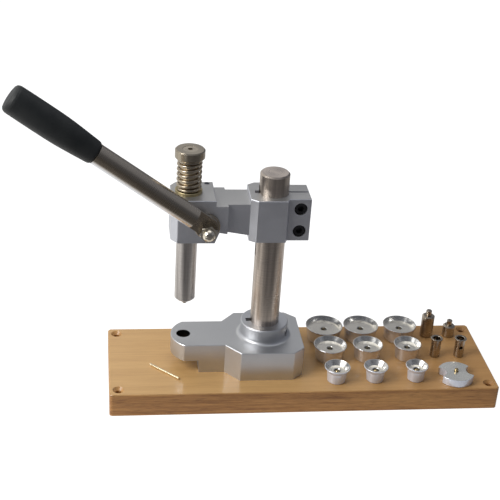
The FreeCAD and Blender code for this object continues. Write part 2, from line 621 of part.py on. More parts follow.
# the rack: straight-sided gaps of 20 degrees cut into a flat on the ram's side
module = D["gear_module"]
pitch = math.pi * module
pitch_line = (D["pivot_x"] - D["ram_x"]) - module * D["gear_teeth"] / 2.0
tip_line = pitch_line + 0.92 * module
root_line = pitch_line - 1.25 * module
half_gap = (pitch + D["gear_backlash"]) / 4.0
tan20 = math.tan(math.radians(20.0))
rack_low, rack_high = D["pivot_z"] - 8.4, D["pivot_z"] + 8.4 + 9.3
outline = [(12.0, rack_low), (tip_line, rack_low)]
k_first = int(math.ceil((rack_low + 1.4 - D["pivot_z"]) / pitch))
k_last = int(math.floor((rack_high - 1.4 - D["pivot_z"]) / pitch))
for k in range(k_first, k_last + 1):
    zc = D["pivot_z"] + k * pitch
    w_top = half_gap + (tip_line - pitch_line) * tan20
    w_bot = half_gap - (pitch_line - root_line) * tan20
    outline += [(tip_line, zc - w_top), (root_line, zc - w_bot), (root_line, zc + w_bot), (tip_line, zc + w_top)]
outline += [(tip_line, rack_high), (12.0, rack_high)]
rack = sketch(ram, "XZ_Plane")
polygon(rack, [(round(x, 6), round(z, 6)) for x, z in outline])
pocket(ram, rack, 24.0, midplane=True)
# threaded hole for the tip, and one for the cap screw
pocket(ram, circle(sketch(ram, offset="ram_bottom-1"), 0.0, 0.0, 4.0), 13.0, backward=True)
pocket(ram, circle(sketch(ram, offset="ram_bottom-1"), 0.0, 0.0, "tip_dia"), 1.1, backward=True)
pocket(ram, circle(sketch(ram, offset="ram_top"), 0.0, 0.0, 6.0), 22.0)

ram_tip = turned("ram_tip", [
    (0.0, "ram_bottom-tip_out"), ("tip_dia/2-0.7", "ram_bottom-tip_out"), ("tip_dia/2-0.02", "ram_bottom-tip_out+0.7"),
    ("tip_dia/2-0.02", "ram_bottom+0.08"), (1.95, "ram_bottom+0.08"), (1.95, "ram_bottom+10.6"), (1.5, "ram_bottom+11.2"), (0.0, "ram_bottom+11.2")],
    "column_x+ram_x", 0.0, "board_thick")

ram_cap = turned("ram_cap", [
    (3.2, "cap_boss_low"), ("cap_boss_dia/2-0.3", "cap_boss_low"), ("cap_boss_dia/2", "cap_boss_low+0.3"), ("cap_boss_dia/2", "cap_under"),
    ("cap_dia/2-1.2", "cap_under"), ("cap_dia/2", "cap_under+1.2"), ("cap_dia/2", "cap_top-0.9"),
    ("cap_dia/2-0.9", "cap_top"), ("cap_recess_dia/2", "cap_top"), (3.2, "cap_top-cap_recess_dia/2+3.2")],
    "column_x+ram_x", 0.0, "board_thick")
# the ram's end sits in the cap's counterbore
groove(ram_cap, polygon(sketch(ram_cap, "XZ_Plane"), [
    (0.0, "cap_boss_low-1"), ("ram_neck_dia/2+0.03", "cap_boss_low-1"), ("ram_neck_dia/2+0.03", "ram_top"), (0.0, "ram_top")]))
cap_screw = screw("cap_screw", [
    (0.0, -22.0), (2.4, -22.0), (2.95, -21.4), (2.95, "-cap_screw_dia/2+2.95"), ("cap_screw_dia/2", 0.0), (0.0, 0.0)],
    4.0, 2.4, "column_x+ram_x", 0.0, "board_thick+cap_top-0.25")

# return spring: closed end coils, open coils between
spring = doc.addObject("Part::Feature", "return_spring")
spring.Label = "return_spring"
wire_r = D["spring_wire"] / 2.0
coil_r = D["spring_dia"] / 2.0 - wire_r
spring_low = D["arm_top"] + D["bush_flange"] + 0.05 + wire_r
spring_high = D["cap_boss_low"] - 0.05 - wire_r
path = []
turns_closed, turns_open = 0.6, 4.4
closed_rise = D["spring_wire"] + 0.12
open_rise = (spring_high - spring_low - 2 * turns_closed * closed_rise) / turns_open
steps = 14


def spring_height(t):
    if t < turns_closed:
        return spring_low + closed_rise * t
    if t < turns_closed + turns_open:
        return spring_low + closed_rise * turns_closed + open_rise * (t - turns_closed)
    return spring_low + closed_rise * turns_closed + open_rise * turns_open + closed_rise * (t - turns_closed - turns_open)


total = 2 * turns_closed + turns_open
count = int(round(total * steps))
for i in range(count + 1):
    t = total * i / count
    a = math.radians(200.0) + 2 * math.pi * t
    path.append(Vector(coil_r * math.cos(a), coil_r * math.sin(a), spring_height(t)))
helix = Part.BSplineCurve()
helix.interpolate(path)
spine = Part.Wire([helix.toShape()])
tangent = helix.tangent(helix.FirstParameter)[0]
section = Part.Wire([Part.Circle(path[0], tangent, wire_r).toShape()])
sweep = spine.makePipeShell([section], True, True)
spring.Shape = sweep
spring.Placement = Placement(Vector(D["column_x"] + D["ram_x"], 0, D["board_thick"]), Rotation())

# ------------------------------------------------------- pinion and bearings
PX, PZ = "column_x+pivot_x", "board_thick+pivot_z"
front_bearing_bush = turned("front_bearing_bush", [
    ("journal_dia/2+fit_gap", "gear_width/2+0.4"), ("pinion_bore_dia/2-0.02", "gear_width/2+0.4"), ("pinion_bore_dia/2-0.02", "arm_half"),
    ("journal_dia/2+fit_gap", "arm_half")], PX, 0.0, PZ, FRONT)
rear_bearing_bush = turned("rear_bearing_bush", [
    ("journal_dia/2+fit_gap", "-arm_half"), ("pinion_bore_dia/2-0.02", "-arm_half"), ("pinion_bore_dia/2-0.02", "-gear_width/2-0.4"),
    ("journal_dia/2+fit_gap", "-gear_width/2-0.4")], PX, 0.0, PZ, FRONT)


# the ram's bore runs across both bushes' inner corners
for bush in (front_bearing_bush, rear_bearing_bush):
    clear = sketch(bush, "XZ_Plane")
    circle(clear, "ram_x-pivot_x", 0.0, "ram_dia+0.6")
    bush_cut = bush.newObject("PartDesign::Pocket", bush.Label + "_ram_clearance")
    bush_cut.Profile = clear
    bush_cut.Length = 40.0
    bush_cut.SideType = "Symmetric"
    clear.Visibility = False


def involute_gear(m, teeth, thin, addendum, dedendum, length, z0):
    """Spur gear about local Z from z0, a tooth centred on local -X."""
    rp = m * teeth / 2.0
    rb = rp * math.cos(math.radians(20.0))
    ra, rf = rp + addendum, rp - dedendum
    inv20 = tan20 - math.radians(20.0)
    half_pitch = math.pi / (2 * teeth) - thin / (4.0 * rp)

    def half_angle(r):
        if r <= rb:
            return half_pitch + inv20
        al = math.acos(rb / r)
        return half_pitch + inv20 - (math.tan(al) - al)

    radii = [rf] + [max(rb, rf) + (ra - max(rb, rf)) * q / 6.0 for q in range(7)]
    pts = []
    for k in range(teeth):
        c = math.pi + 2 * math.pi * k / teeth
        for r in radii:
            pts.append((r, c - half_angle(r)))
        for r in reversed(radii):
            pts.append((r, c + half_angle(r)))
    vs = [Vector(r * math.cos(t), r * math.sin(t), z0) for r, t in pts]
    vs.append(vs[0])
    return Part.Face(Part.makePolygon(vs)).extrude(Vector(0, 0, length))


pinion = doc.addObject("Part::Feature", "pinion_shaft")
pinion.Label = "pinion_shaft"
gw, jr, ah = D["gear_width"], D["journal_dia"] / 2.0, D["arm_half"]
sq = D["drive_square"]
gear = involute_gear(module, int(D["gear_teeth"]), D["gear_backlash"], 0.92 * module, 1.25 * module, gw, -gw / 2)
shaft = Part.makeCylinder(jr, 2 * ah + D["hub_gap"] + 1.2, Vector(0, 0, -ah - 1.2))
rear_stub = Part.makeCylinder(jr - 1.4, 5.4, Vector(0, 0, -ah - 5.2))
flange = Part.makeCylinder(D["hub_dia"] / 2.0, D["hub_front"] - ah - D["hub_gap"], Vector(0, 0, ah + D["hub_gap"]))
flange = flange.makeChamfer(0.5, [e for e in flange.Edges if abs(e.BoundBox.ZMin - D["hub_front"]) < 1e-6 and abs(e.BoundBox.ZMax - D["hub_front"]) < 1e-6])
square = Part.makeBox(sq, sq, D["lever_flat"] - D["hub_front"] - 0.3, Vector(-sq / 2, -sq / 2, D["hub_front"]))
square = square.common(Part.makeCylinder(sq * 0.66, 20.0, Vector(0, 0, D["hub_front"] - 1)))
stud = Part.makeCylinder(3.95, 11.0, Vector(0, 0, D["hub_front"]))
pin_shape = gear
for piece in (shaft, rear_stub, flange, square, stud):
    pin_shape = pin_shape.fuse(piece)
# groove for the retaining ring at the back
pin_shape = pin_shape.cut(Part.makeCylinder(jr, 1.15, Vector(0, 0, -ah - 3.9)).cut(Part.makeCylinder(jr - 2.2, 1.15, Vector(0, 0, -ah - 3.9))))
square_turn = Rotation(Vector(0, 0, 1), -D["lever_angle"])
pinion.Shape = pin_shape.removeSplitter()
pinion.Placement = Placement(Vector(D["column_x"] + D["pivot_x"], 0, D["board_thick"] + D["pivot_z"]), FRONT)

thrust_washer = turned("rear_thrust_washer", [
    (4.75, "-arm_half-2.6"), (8.6, "-arm_half-2.6"), (8.6, "-arm_half-1.3"), (4.75, "-arm_half-1.3")], PX, 0.0, PZ, FRONT)
retaining_ring = doc.addObject("Part::Feature", "shaft_retaining_ring")
retaining_ring.Label = "shaft_retaining_ring"
ring = Part.makeCylinder(7.2, 1.0, Vector(0, 0, -ah - 3.82)).cut(Part.makeCylinder(jr - 2.15, 1.0, Vector(0, 0, -ah - 3.82)))
ring = ring.cut(Part.makeBox(2 * (jr - 2.15), 9.0, 2.0, Vector(-(jr - 2.15), 0, -ah - 4.4)))
retaining_ring.Shape = ring
retaining_ring.Placement = Placement(Vector(D["column_x"] + D["pivot_x"], 0, D["board_thick"] + D["pivot_z"]), FRONT)

# ------------------------------------------------------------- lever and grip
# Lever frame: local X runs out along the lever, local Z points to the front.
LEVER = Rotation(Vector(0, -1, 0), 180.0 - D["lever_angle"]) * FRONT
lever = body("lever_rod", PX, 0.0, PZ, LEVER)
lever.setExpression("Placement.Rotation", "create(<<rotation>>; create(<<vector>>; 0; -1; 0); 180 - Dims.lever_angle) * create(<<rotation>>; create(<<vector>>; 1; 0; 0); 90)")
rod = sketch(lever, "YZ_Plane", offset=-7.0)
circle(rod, "lever_offset", "lever_plane", "lever_dia")
pad(lever, rod, "lever_end+7")
neck = sketch(lever, "YZ_Plane", offset="grip_start-0.4")
circle(neck, "lever_offset", "lever_plane", "lever_dia+4")
circle(neck, "lever_offset", "lever_plane", "tang_dia")
pocket(lever, neck, "lever_end", backward=True)
# flats in front for the nut and behind for the flange
pocket(lever, polygon(sketch(lever, offset="lever_flat"), [
    (-12.0, -20.0), ("lever_shoulder", -20.0), ("lever_shoulder", 20.0), (-12.0, 20.0)]), 20.0, backward=True)
pocket(lever, polygon(sketch(lever, offset="hub_front+0.02"), [
    (-12.0, -20.0), (13.2, -20.0), (13.2, 20.0), (-12.0, 20.0)]), 20.0)
# rounded end about a centre just outboard of the pinion axis
end = sketch(lever, offset=10.0)
rr = D["lever_dia"] / 2.0
oy = D["lever_offset"]
end.addGeometry(Part.ArcOfCircle(Part.Circle(Vector(2.7, oy, 0), Vector(0, 0, 1), rr), 0.5 * math.pi, 1.5 * math.pi), False)
end.addGeometry(Part.LineSegment(Vector(2.7, oy - rr, 0), Vector(2.7, oy - rr - 3, 0)), False)
end.addGeometry(Part.LineSegment(Vector(2.7, oy - rr - 3, 0), Vector(-14, oy - rr - 3, 0)), False)
end.addGeometry(Part.LineSegment(Vector(-14, oy - rr - 3, 0), Vector(-14, oy + rr + 3, 0)), False)
end.addGeometry(Part.LineSegment(Vector(-14, oy + rr + 3, 0), Vector(2.7, oy + rr + 3, 0)), False)
end.addGeometry(Part.LineSegment(Vector(2.7, oy + rr + 3, 0), Vector(2.7, oy + rr, 0)), False)
a0 = 1
end.addConstraint(Sketcher.Constraint("Coincident", 0, 3 - a0, 1, 1))
for i in (1, 2, 3, 4):
    end.addConstraint(Sketcher.Constraint("Coincident", i, 2, i + 1, 1))
end.addConstraint(Sketcher.Constraint("Coincident", 5, 2, 0, a0))
pin_point(end, 0, 3, 2.7, "lever_offset")
pin_point(end, 1, 1, 2.7, "lever_offset-lever_dia/2")
pin_point(end, 2, 1, 2.7, "lever_offset-lever_dia/2-3")
pin_point(end, 3, 1, -14.0, "lever_offset-lever_dia/2-3")
pin_point(end, 4, 1, -14.0, "lever_offset+lever_dia/2+3")
pin_point(end, 5, 1, 2.7, "lever_offset+lever_dia/2+3")
end.addConstraint(Sketcher.Constraint("Vertical", 5))
pocket(lever, end, 40.0, backward=True)
# square hole for the pinion's drive
hole = sketch(lever, offset=10.0)
ang = math.radians(180.0 - D["lever_angle"])
c2 = D["drive_square"] / 2.0 + 0.08
corners = []
for ux, uy in ((-c2, -c2), (c2, -c2), (c2, c2), (-c2, c2)):
    corners.append((round(ux * math.cos(-ang) - uy * math.sin(-ang), 6), round(ux * math.sin(-ang) + uy * math.cos(-ang), 6)))
polygon(hole, corners)
pocket(lever, hole, 40.0, backward=True)

GRIP = [(112.7, 8.6), (113.6, 9.5), (115.0, 9.85), (118.0, 10.15), (121.3, 10.4), (127.5, 10.9), (133.7, 11.35), (139.9, 11.75),
        (146.0, 12.0), (152.1, 12.13), (164.0, 12.15), (176.0, 12.1), (187.2, 11.95), (188.9, 11.6), (190.2, 10.9), (191.0, 9.8), (191.3, 8.4)]
grip = body("lever_grip", PX, 0.0, PZ, LEVER * Placement(Vector(0, 0, 0), Rotation(Vector(0, 1, 0), 90)).Rotation)
grip_sketch = grip.newObject("Sketcher::SketchObject", "lever_grip_profile")
grip_sketch.AttachmentSupport = (origin_plane(grip, "XZ_Plane"), [""])
grip_sketch.MapMode = "FlatFace"
grip_points = [("tang_dia/2+0.03", "grip_start+0.05"), (GRIP[0][1], "grip_start+0.05")] + [(r, x) for x, r in GRIP[1:-1]] + [
    (GRIP[-1][1], "grip_finish"), (0.0, "grip_finish"), (0.0, "lever_end+0.3"), ("tang_dia/2+0.03", "lever_end+0.3")]
polygon(grip_sketch, grip_points)
revolve(grip, grip_sketch)
place(grip, "column_x+pivot_x-lever_offset*sin(lever_angle*1deg)", "-lever_plane",
      "board_thick+pivot_z-lever_offset*cos(lever_angle*1deg)", grip.Placement.Rotation)

# acorn nut on the pinion's stud
nut = body("acorn_nut", PX, 0.0, PZ, Rotation(Vector(0, -1, 0), 12.0) * FRONT)
hexagon = sketch(nut, offset="lever_flat+0.02")
r6 = D["nut_flats"] / math.sqrt(3.0)
polygon(hexagon, [(round(r6 * math.cos(math.radians(60 * k)), 6), round(r6 * math.sin(math.radians(60 * k)), 6)) for k in range(6)])
pad(nut, hexagon, 6.3)
nf = D["lever_flat"] + 0.02
revolve(nut, polygon(sketch(nut, "XZ_Plane"), [
    (0.0, nf + 1.0), (5.3, nf + 1.0), (5.3, nf + 7.4), (5.05, nf + 8.8), (4.4, nf + 10.1), (3.4, nf + 11.1), (2.1, nf + 11.8), (0.7, nf + 12.1), (0.0, nf + 12.12)]))
groove(nut, polygon(sketch(nut, "XZ_Plane"), [
    (6.3, nf + 6.8), (8.6, nf + 6.8), (8.6, nf + 5.0)]))
groove(nut, polygon(sketch(nut, "XZ_Plane"), [
    (0.0, nf - 1.0), (4.0, nf - 1.0), (4.0, "hub_front+11.3"), (0.0, "hub_front+11.3")]))

# ------------------------------------------------------------------ the dies
# name, column, row, rim radius, radius under the flare, height of the flare's foot, base radius, floor radius
DIES = [
    ("case_die_34", "die_col_a", "row_back", 17.05, 16.35, 12.4, 14.6, 14.7),
    ("case_die_32", "die_col_b", "row_back", 16.2, 15.5, 12.4, 13.8, 13.9),
    ("case_die_31", "die_col_c", "row_back", 15.4, 14.7, 12.4, 13.1, 13.1),
    ("case_die_30", "die_col_a", "row_middle", 14.8, 14.0, 12.2, 12.3, 12.0),
    ("case_die_27", "die_col_b", "row_middle", 13.5, 12.7, 12.2, 11.2, 10.7),
    ("case_die_25", "die_col_c", "row_middle", 12.45, 11.6, 12.2, 10.2, 9.6),
    ("case_die_23", "die_col_a", "row_front", 11.3, 9.0, 9.9, 8.0, 7.6),
    ("case_die_21", "die_col_b", "row_front", 10.7, 8.5, 9.9, 7.3, 6.9),
    ("case_die_20", "die_col_c", "row_front", 9.9, 7.9, 9.9, 7.1, 6.5),
]
for name, col, rowy, rim, under, flare, base, floor in DIES:
    lip = 0.7
    turned(name, [
        ("die_hole_dia/2+0.3", 0.0), (base - 0.5, 0.0), (base, 0.5), (under, flare), (rim - 0.2, "die_height-1.0"),
        (rim, "die_height-0.8"), (rim, "die_height-0.2"), (rim - 0.2, "die_height"), (rim - lip + 0.1, "die_height"), (rim - lip, "die_height-0.1"),
        (floor, "die_height-die_recess"), ("die_hole_dia/2+0.4", "die_height-die_recess"), ("die_hole_dia/2", "die_height-die_recess-0.4"),
        ("die_hole_dia/2", 0.3)],
        "column_x+" + col, rowy, "board_thick")

disc = body("notched_disc", "column_x+" + DISC_X, DISC_Y, "board_thick")
revolve(disc, polygon(sketch(disc, "XZ_Plane"), [
    (2.2, 0.0), ("disc_dia/2-0.5", 0.0), ("disc_dia/2", 0.5), ("disc_dia/2", "disc_thick-0.4"), ("disc_dia/2-0.4", "disc_thick"), (2.2, "disc_thick")]))
notches = sketch(disc)
circle(notches, -16.2, -0.6, 14.4)
circle(notches, 16.2, 0.6, 14.4)
pocket(disc, notches, "disc_thick+1", backward=True)

pegs = []
for i, (px, py) in enumerate(peg_spots):
    peg = doc.addObject("Part::Cylinder", "die_peg_%d" % (i + 1))
    peg.Radius = D["peg_dia"] / 2 - 0.01
    tall = "peg_height" if py == "row_front" else "peg_height_back"
    peg.Height = D[tall] + D["peg_depth"] - 0.1
    bind(peg, "Radius", "peg_dia/2-0.01")
    bind(peg, "Height", tall + "+peg_depth-0.1")
    place(peg, "column_x+" + px, py, "board_thick-peg_depth+0.1")
    rounded = doc.addObject("Part::Chamfer", "die_peg_%d_eased" % (i + 1))
    rounded.Base = peg
    doc.recompute()
    rounded.Edges = [(k + 1, 0.5, 0.5) for k, e in enumerate(peg.Shape.Edges)
                     if abs(e.BoundBox.ZMin - peg.Shape.BoundBox.ZMax) < 1e-4]
    pegs.append(rounded)
die_pegs = doc.addObject("Part::Compound", "die_pegs")
die_pegs.Label = "die_pegs"
die_pegs.Links = pegs

# adapters: a plain body with a spigot that plugs into a die
turned("tall_adapter", [
    (0.0, 0.0), (5.2, 0.0), (5.85, 0.65), (5.85, 21.0), (4.6, 22.0), (2.7, 22.0), (2.7, 26.5), (2.2, 27.0), (0.0, 27.0)],
    "column_x+160.8", 35.9, "board_thick")
turned("short_adapter", [
    (0.0, 0.0), (5.0, 0.0), (5.6, 0.6), (5.6, 10.4), (4.2, 11.7), (2.6, 11.7), (2.6, 16.0), (2.1, 16.5), (0.0, 16.5)],
    "column_x+181.8", 35.3, "board_thick")


def sleeve(name, x, y, turn):
    b = turned(name, [
        ("sleeve_bore_dia/2", 0.0), ("sleeve_dia/2-0.4", 0.0), ("sleeve_dia/2", 0.4), ("sleeve_dia/2", "sleeve_height-1.6"),
        ("sleeve_flange_dia/2", "sleeve_height-1.1"), ("sleeve_flange_dia/2", "sleeve_height-0.3"),
        ("sleeve_flange_dia/2-0.3", "sleeve_height"), ("sleeve_bore_dia/2+0.4", "sleeve_height"), ("sleeve_bore_dia/2", "sleeve_height-0.4")],
        x, y, "board_thick", Rotation(Vector(0, 0, 1), turn))
    s = sketch(b, "XZ_Plane")
    circle(s, 0.0, "sleeve_height*0.5+0.9", "sleeve_cross_dia")
    pocket(b, s, 20.0, midplane=True)
    return b


sleeve("flanged_sleeve_left", "column_x+160.0", 1.0, 62.0)
sleeve("flanged_sleeve_right", "column_x+182.2", 0.5, 2.0)

# tommy bar lying on the board
bar_turn = math.degrees(math.atan2(-30.7 + 7.5, -75.7 + 99.7))
turned("tommy_bar", [
    (0.0, 0.0), ("bar_dia/2-0.25", 0.0), ("bar_dia/2", 0.25), ("bar_dia/2", "bar_length-0.25"), ("bar_dia/2-0.25", "bar_length"), (0.0, "bar_length")],
    "column_x-99.7", -7.5, "board_thick+bar_dia/2+0.01",
    Rotation(Vector(0, 0, 1), bar_turn) * Rotation(Vector(0, 1, 0), 90))

doc.recompute()

NODES = [
    "base_board", "die_pegs", "foot_screws", "foot_block", "column", "foot_key", "column_grub_screw",
    "press_arm", "arm_key", "clamp_screws", "bearing_set_screw", "upper_guide_bush", "lower_guide_bush",
    "front_bearing_bush", "rear_bearing_bush",
    "ram", "ram_tip", "ram_cap", "cap_screw", "return_spring",
    "pinion_shaft", "rear_thrust_washer", "shaft_retaining_ring", "lever_rod", "lever_grip", "acorn_nut",
    "case_die_34", "case_die_32", "case_die_31", "case_die_30", "case_die_27", "case_die_25",
    "case_die_23", "case_die_21", "case_die_20", "notched_disc", "tall_adapter", "short_adapter",
    "flanged_sleeve_left", "flanged_sleeve_right", "tommy_bar",
]

for o in doc.Objects:
    if "Invalid" in o.State or "Error" in o.State:
        raise RuntimeError("%s failed: %s" % (o.Label, o.State))
os.makedirs("parts", exist_ok=True)
by_label = {o.Label: o for o in doc.Objects}
for node in NODES:
    shape = by_label[node].Shape
    if shape.isNull() or not shape.isValid() or not shape.Solids:
        raise RuntimeError("%s has no valid solid" % node)
for node in NODES:
    by_label[node].Shape.exportStep("parts/%s.step" % node)
    bb = by_label[node].Shape.BoundBox
    print("%-22s solids %2d vol %10.1f  x %8.2f %8.2f  y %8.2f %8.2f  z %8.2f %8.2f" % (
        node, len(by_label[node].Shape.Solids), by_label[node].Shape.Volume, bb.XMin, bb.XMax, bb.YMin, bb.YMax, bb.ZMin, bb.ZMax))
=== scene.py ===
import math

import bmesh
import bpy
import numpy as np
from mathutils import Matrix, Quaternion, Vector


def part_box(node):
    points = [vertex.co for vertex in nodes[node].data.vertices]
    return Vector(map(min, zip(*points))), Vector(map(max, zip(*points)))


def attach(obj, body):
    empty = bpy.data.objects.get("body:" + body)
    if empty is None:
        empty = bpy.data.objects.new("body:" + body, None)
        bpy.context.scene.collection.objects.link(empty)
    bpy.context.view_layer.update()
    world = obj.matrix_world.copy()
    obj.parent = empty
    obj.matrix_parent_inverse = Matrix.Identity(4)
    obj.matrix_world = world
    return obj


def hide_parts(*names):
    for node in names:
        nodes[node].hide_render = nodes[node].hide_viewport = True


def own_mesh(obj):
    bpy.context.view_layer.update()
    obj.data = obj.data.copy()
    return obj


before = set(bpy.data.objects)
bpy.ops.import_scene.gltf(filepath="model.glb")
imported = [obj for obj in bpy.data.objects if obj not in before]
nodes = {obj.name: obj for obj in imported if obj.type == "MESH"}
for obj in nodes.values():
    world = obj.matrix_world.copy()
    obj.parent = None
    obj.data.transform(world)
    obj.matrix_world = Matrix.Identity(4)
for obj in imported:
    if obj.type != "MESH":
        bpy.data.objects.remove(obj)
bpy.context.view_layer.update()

scene = bpy.context.scene
MM = 0.001


FLOOR_DIM, FLOOR_LIT, FLOOR_GLOW = (0.095, 0.093, 0.096), (0.62, 0.615, 0.60), 0.55


def ROOM(window, ceiling_mask):
    """Brightness of the room by direction: azimuth from the back (+Y), clockwise, in degrees."""
    return [
        window(-75.0, -35.0, -2.0, 6.0, 0.52, -0.1, 0.1, 0.7, 1.0),
        window(-75.0, -35.0, 15.0, 25.0, 0.24, -0.1, 0.1, 0.7, 1.0),
        window(-140.0, -115.0, -75.0, -45.0, 0.95, -0.2, 0.0, 0.55, 0.85),
        window(28.0, 45.0, 110.0, 140.0, 0.14, 0.06, 0.16, 0.5, 0.8),
        tree_math(wt, "MULTIPLY", ceiling_mask, 0.20),
        window(-400.0, -390.0, 390.0, 400.0, 0.10, -2.0, -1.5, 1.5, 2.0)]


# ------------------------------------------------------------------ materials
class Graph:
    """A small helper that writes a material's node tree."""

    def __init__(self, name):
        self.mat = bpy.data.materials.new(name)
        self.mat.use_nodes = True
        self.nt = self.mat.node_tree
        self.bsdf = next(n for n in self.nt.nodes if n.type == "BSDF_PRINCIPLED")
        self.coord = self.nt.nodes.new("ShaderNodeTexCoord")

    @property
    def obj(self):
        return self.coord.outputs["Object"]

    @property
    def normal(self):
        return self.coord.outputs["Normal"]

    def link(self, a, b):
        self.nt.links.new(a, b)

    def put(self, node, key, value):
        s = node.inputs[key]
        if isinstance(value, bpy.types.NodeSocket):
            self.link(value, s)
        else:
            s.default_value = value

    def set(self, **kw):
        names = {"color": "Base Color", "metallic": "Metallic", "roughness": "Roughness", "ior": "IOR", "normal": "Normal",
                 "aniso": "Anisotropic", "aniso_rot": "Anisotropic Rotation", "tangent": "Tangent", "coat": "Coat Weight",
                 "coat_rough": "Coat Roughness", "specular": "Specular IOR Level", "sheen": "Sheen Weight"}
        for k, v in kw.items():
            if k == "color" and not isinstance(v, bpy.types.NodeSocket) and len(v) == 3:
                v = (*v, 1.0)
            self.put(self.bsdf, names[k], v)
        return self

    def node(self, kind, **inputs):
        n = self.nt.nodes.new(kind)
        for k, v in inputs.items():
            self.put(n, k, v)
        return n

    def mapping(self, vec, scale=(1, 1, 1), loc=(0, 0, 0), rot=(0, 0, 0)):
        n = self.nt.nodes.new("ShaderNodeMapping")
        self.link(vec, n.inputs["Vector"])
        n.inputs["Scale"].default_value = scale
        n.inputs["Location"].default_value = loc
        n.inputs["Rotation"].default_value = rot
        return n.outputs["Vector"]

    def noise(self, vec, scale=10.0, detail=4.0, rough=0.5, distortion=0.0):
        n = self.nt.nodes.new("ShaderNodeTexNoise")
        self.link(vec, n.inputs["Vector"])
        n.inputs["Scale"].default_value = scale
        n.inputs["Detail"].default_value = detail
        n.inputs["Roughness"].default_value = rough
        n.inputs["Distortion"].default_value = distortion
        return n.outputs["Fac"]

    def wave(self, vec, scale=5.0, distortion=2.0, detail=2.0, direction="Y", profile="SIN"):
        n = self.nt.nodes.new("ShaderNodeTexWave")
        n.bands_direction = direction
        n.wave_profile = profile
        self.link(vec, n.inputs["Vector"])
        n.inputs["Scale"].default_value = scale
        n.inputs["Distortion"].default_value = distortion
        n.inputs["Detail"].default_value = detail
        return n.outputs["Fac"]

    def voronoi(self, vec, scale=10.0, feature="F1", rand=1.0):
        n = self.nt.nodes.new("ShaderNodeTexVoronoi")
        n.feature = feature
        self.link(vec, n.inputs["Vector"])
        n.inputs["Scale"].default_value = scale
        n.inputs["Randomness"].default_value = rand
        return n.outputs["Distance"]

    def ramp(self, fac, stops, mode="LINEAR"):
        n = self.nt.nodes.new("ShaderNodeValToRGB")
        n.color_ramp.interpolation = mode
        self.link(fac, n.inputs["Fac"])
        el = n.color_ramp.elements
        while len(el) < len(stops):
            el.new(0.5)
        for e, (p, c) in zip(el, stops):
            e.position = p
            e.color = (c, c, c, 1.0) if isinstance(c, (int, float)) else (*c, 1.0)
        return n.outputs["Color"]

    def mix(self, fac, a, b, blend="MIX"):
        n = self.nt.nodes.new("ShaderNodeMix")
        n.data_type = "RGBA"
        n.blend_type = blend
        for key, v in ((0, fac), (6, a), (7, b)):
            s = n.inputs[key]
            if isinstance(v, bpy.types.NodeSocket):
                self.link(v, s)
            elif key == 0:
                s.default_value = v
            else:
                s.default_value = (v, v, v, 1.0) if isinstance(v, (int, float)) else (*v, 1.0)
        return n.outputs[2]

    def math(self, op, a, b=0.0, clamp=False):
        n = self.nt.nodes.new("ShaderNodeMath")
        n.operation = op
        n.use_clamp = clamp
        self.put(n, 0, a)
        self.put(n, 1, b)
        return n.outputs[0]

    def range(self, v, a, b, c, d):
        n = self.nt.nodes.new("ShaderNodeMapRange")
        self.put(n, "Value", v)
        for k, x in (("From Min", a), ("From Max", b), ("To Min", c), ("To Max", d)):
            n.inputs[k].default_value = x
        return n.outputs["Result"]

    def bump(self, height, strength=0.2, distance=0.0002, normal=None):
        n = self.nt.nodes.new("ShaderNodeBump")
        n.inputs["Strength"].default_value = strength
        n.inputs["Distance"].default_value = distance
        self.link(height, n.inputs["Height"])
        if normal is not None:
            self.link(normal, n.inputs["Normal"])
        return n.outputs["Normal"]

    def radial(self, vec, z_scale=1.0, axis="Z"):
        """Vector that depends only on distance from the axis and on height: rings left by a lathe."""
        sep = self.nt.nodes.new("ShaderNodeSeparateXYZ")
        self.link(vec, sep.inputs[0])
        a, b, c = {"Z": (0, 1, 2), "X": (1, 2, 0), "Y": (0, 2, 1)}[axis]
        r = self.math("SQRT", self.math("ADD", self.math("MULTIPLY", sep.outputs[a], sep.outputs[a]),
                                        self.math("MULTIPLY", sep.outputs[b], sep.outputs[b])))
        comb = self.nt.nodes.new("ShaderNodeCombineXYZ")
        self.link(r, comb.inputs[0])
        self.link(self.math("MULTIPLY", sep.outputs[c], z_scale), comb.inputs[1])
        return comb.outputs[0]


def offset_coord(g, centre):
    """Object coordinates moved so that the piece's own axis is at zero."""
    return g.mapping(g.obj, loc=(-centre[0], -centre[1], -centre[2]))


LEVER_TILT = math.radians(35.4)
LEVER_POINT = (-0.0912600 + 0.0014192, -0.0285, 0.1644 + 0.0019971)


def lever_coord(g):
    """Object coordinates rotated so that X runs in along the lever and its axis is at zero."""
    return g.mapping(g.mapping(g.obj, loc=tuple(-c for c in LEVER_POINT)), rot=(0.0, -LEVER_TILT, 0.0))


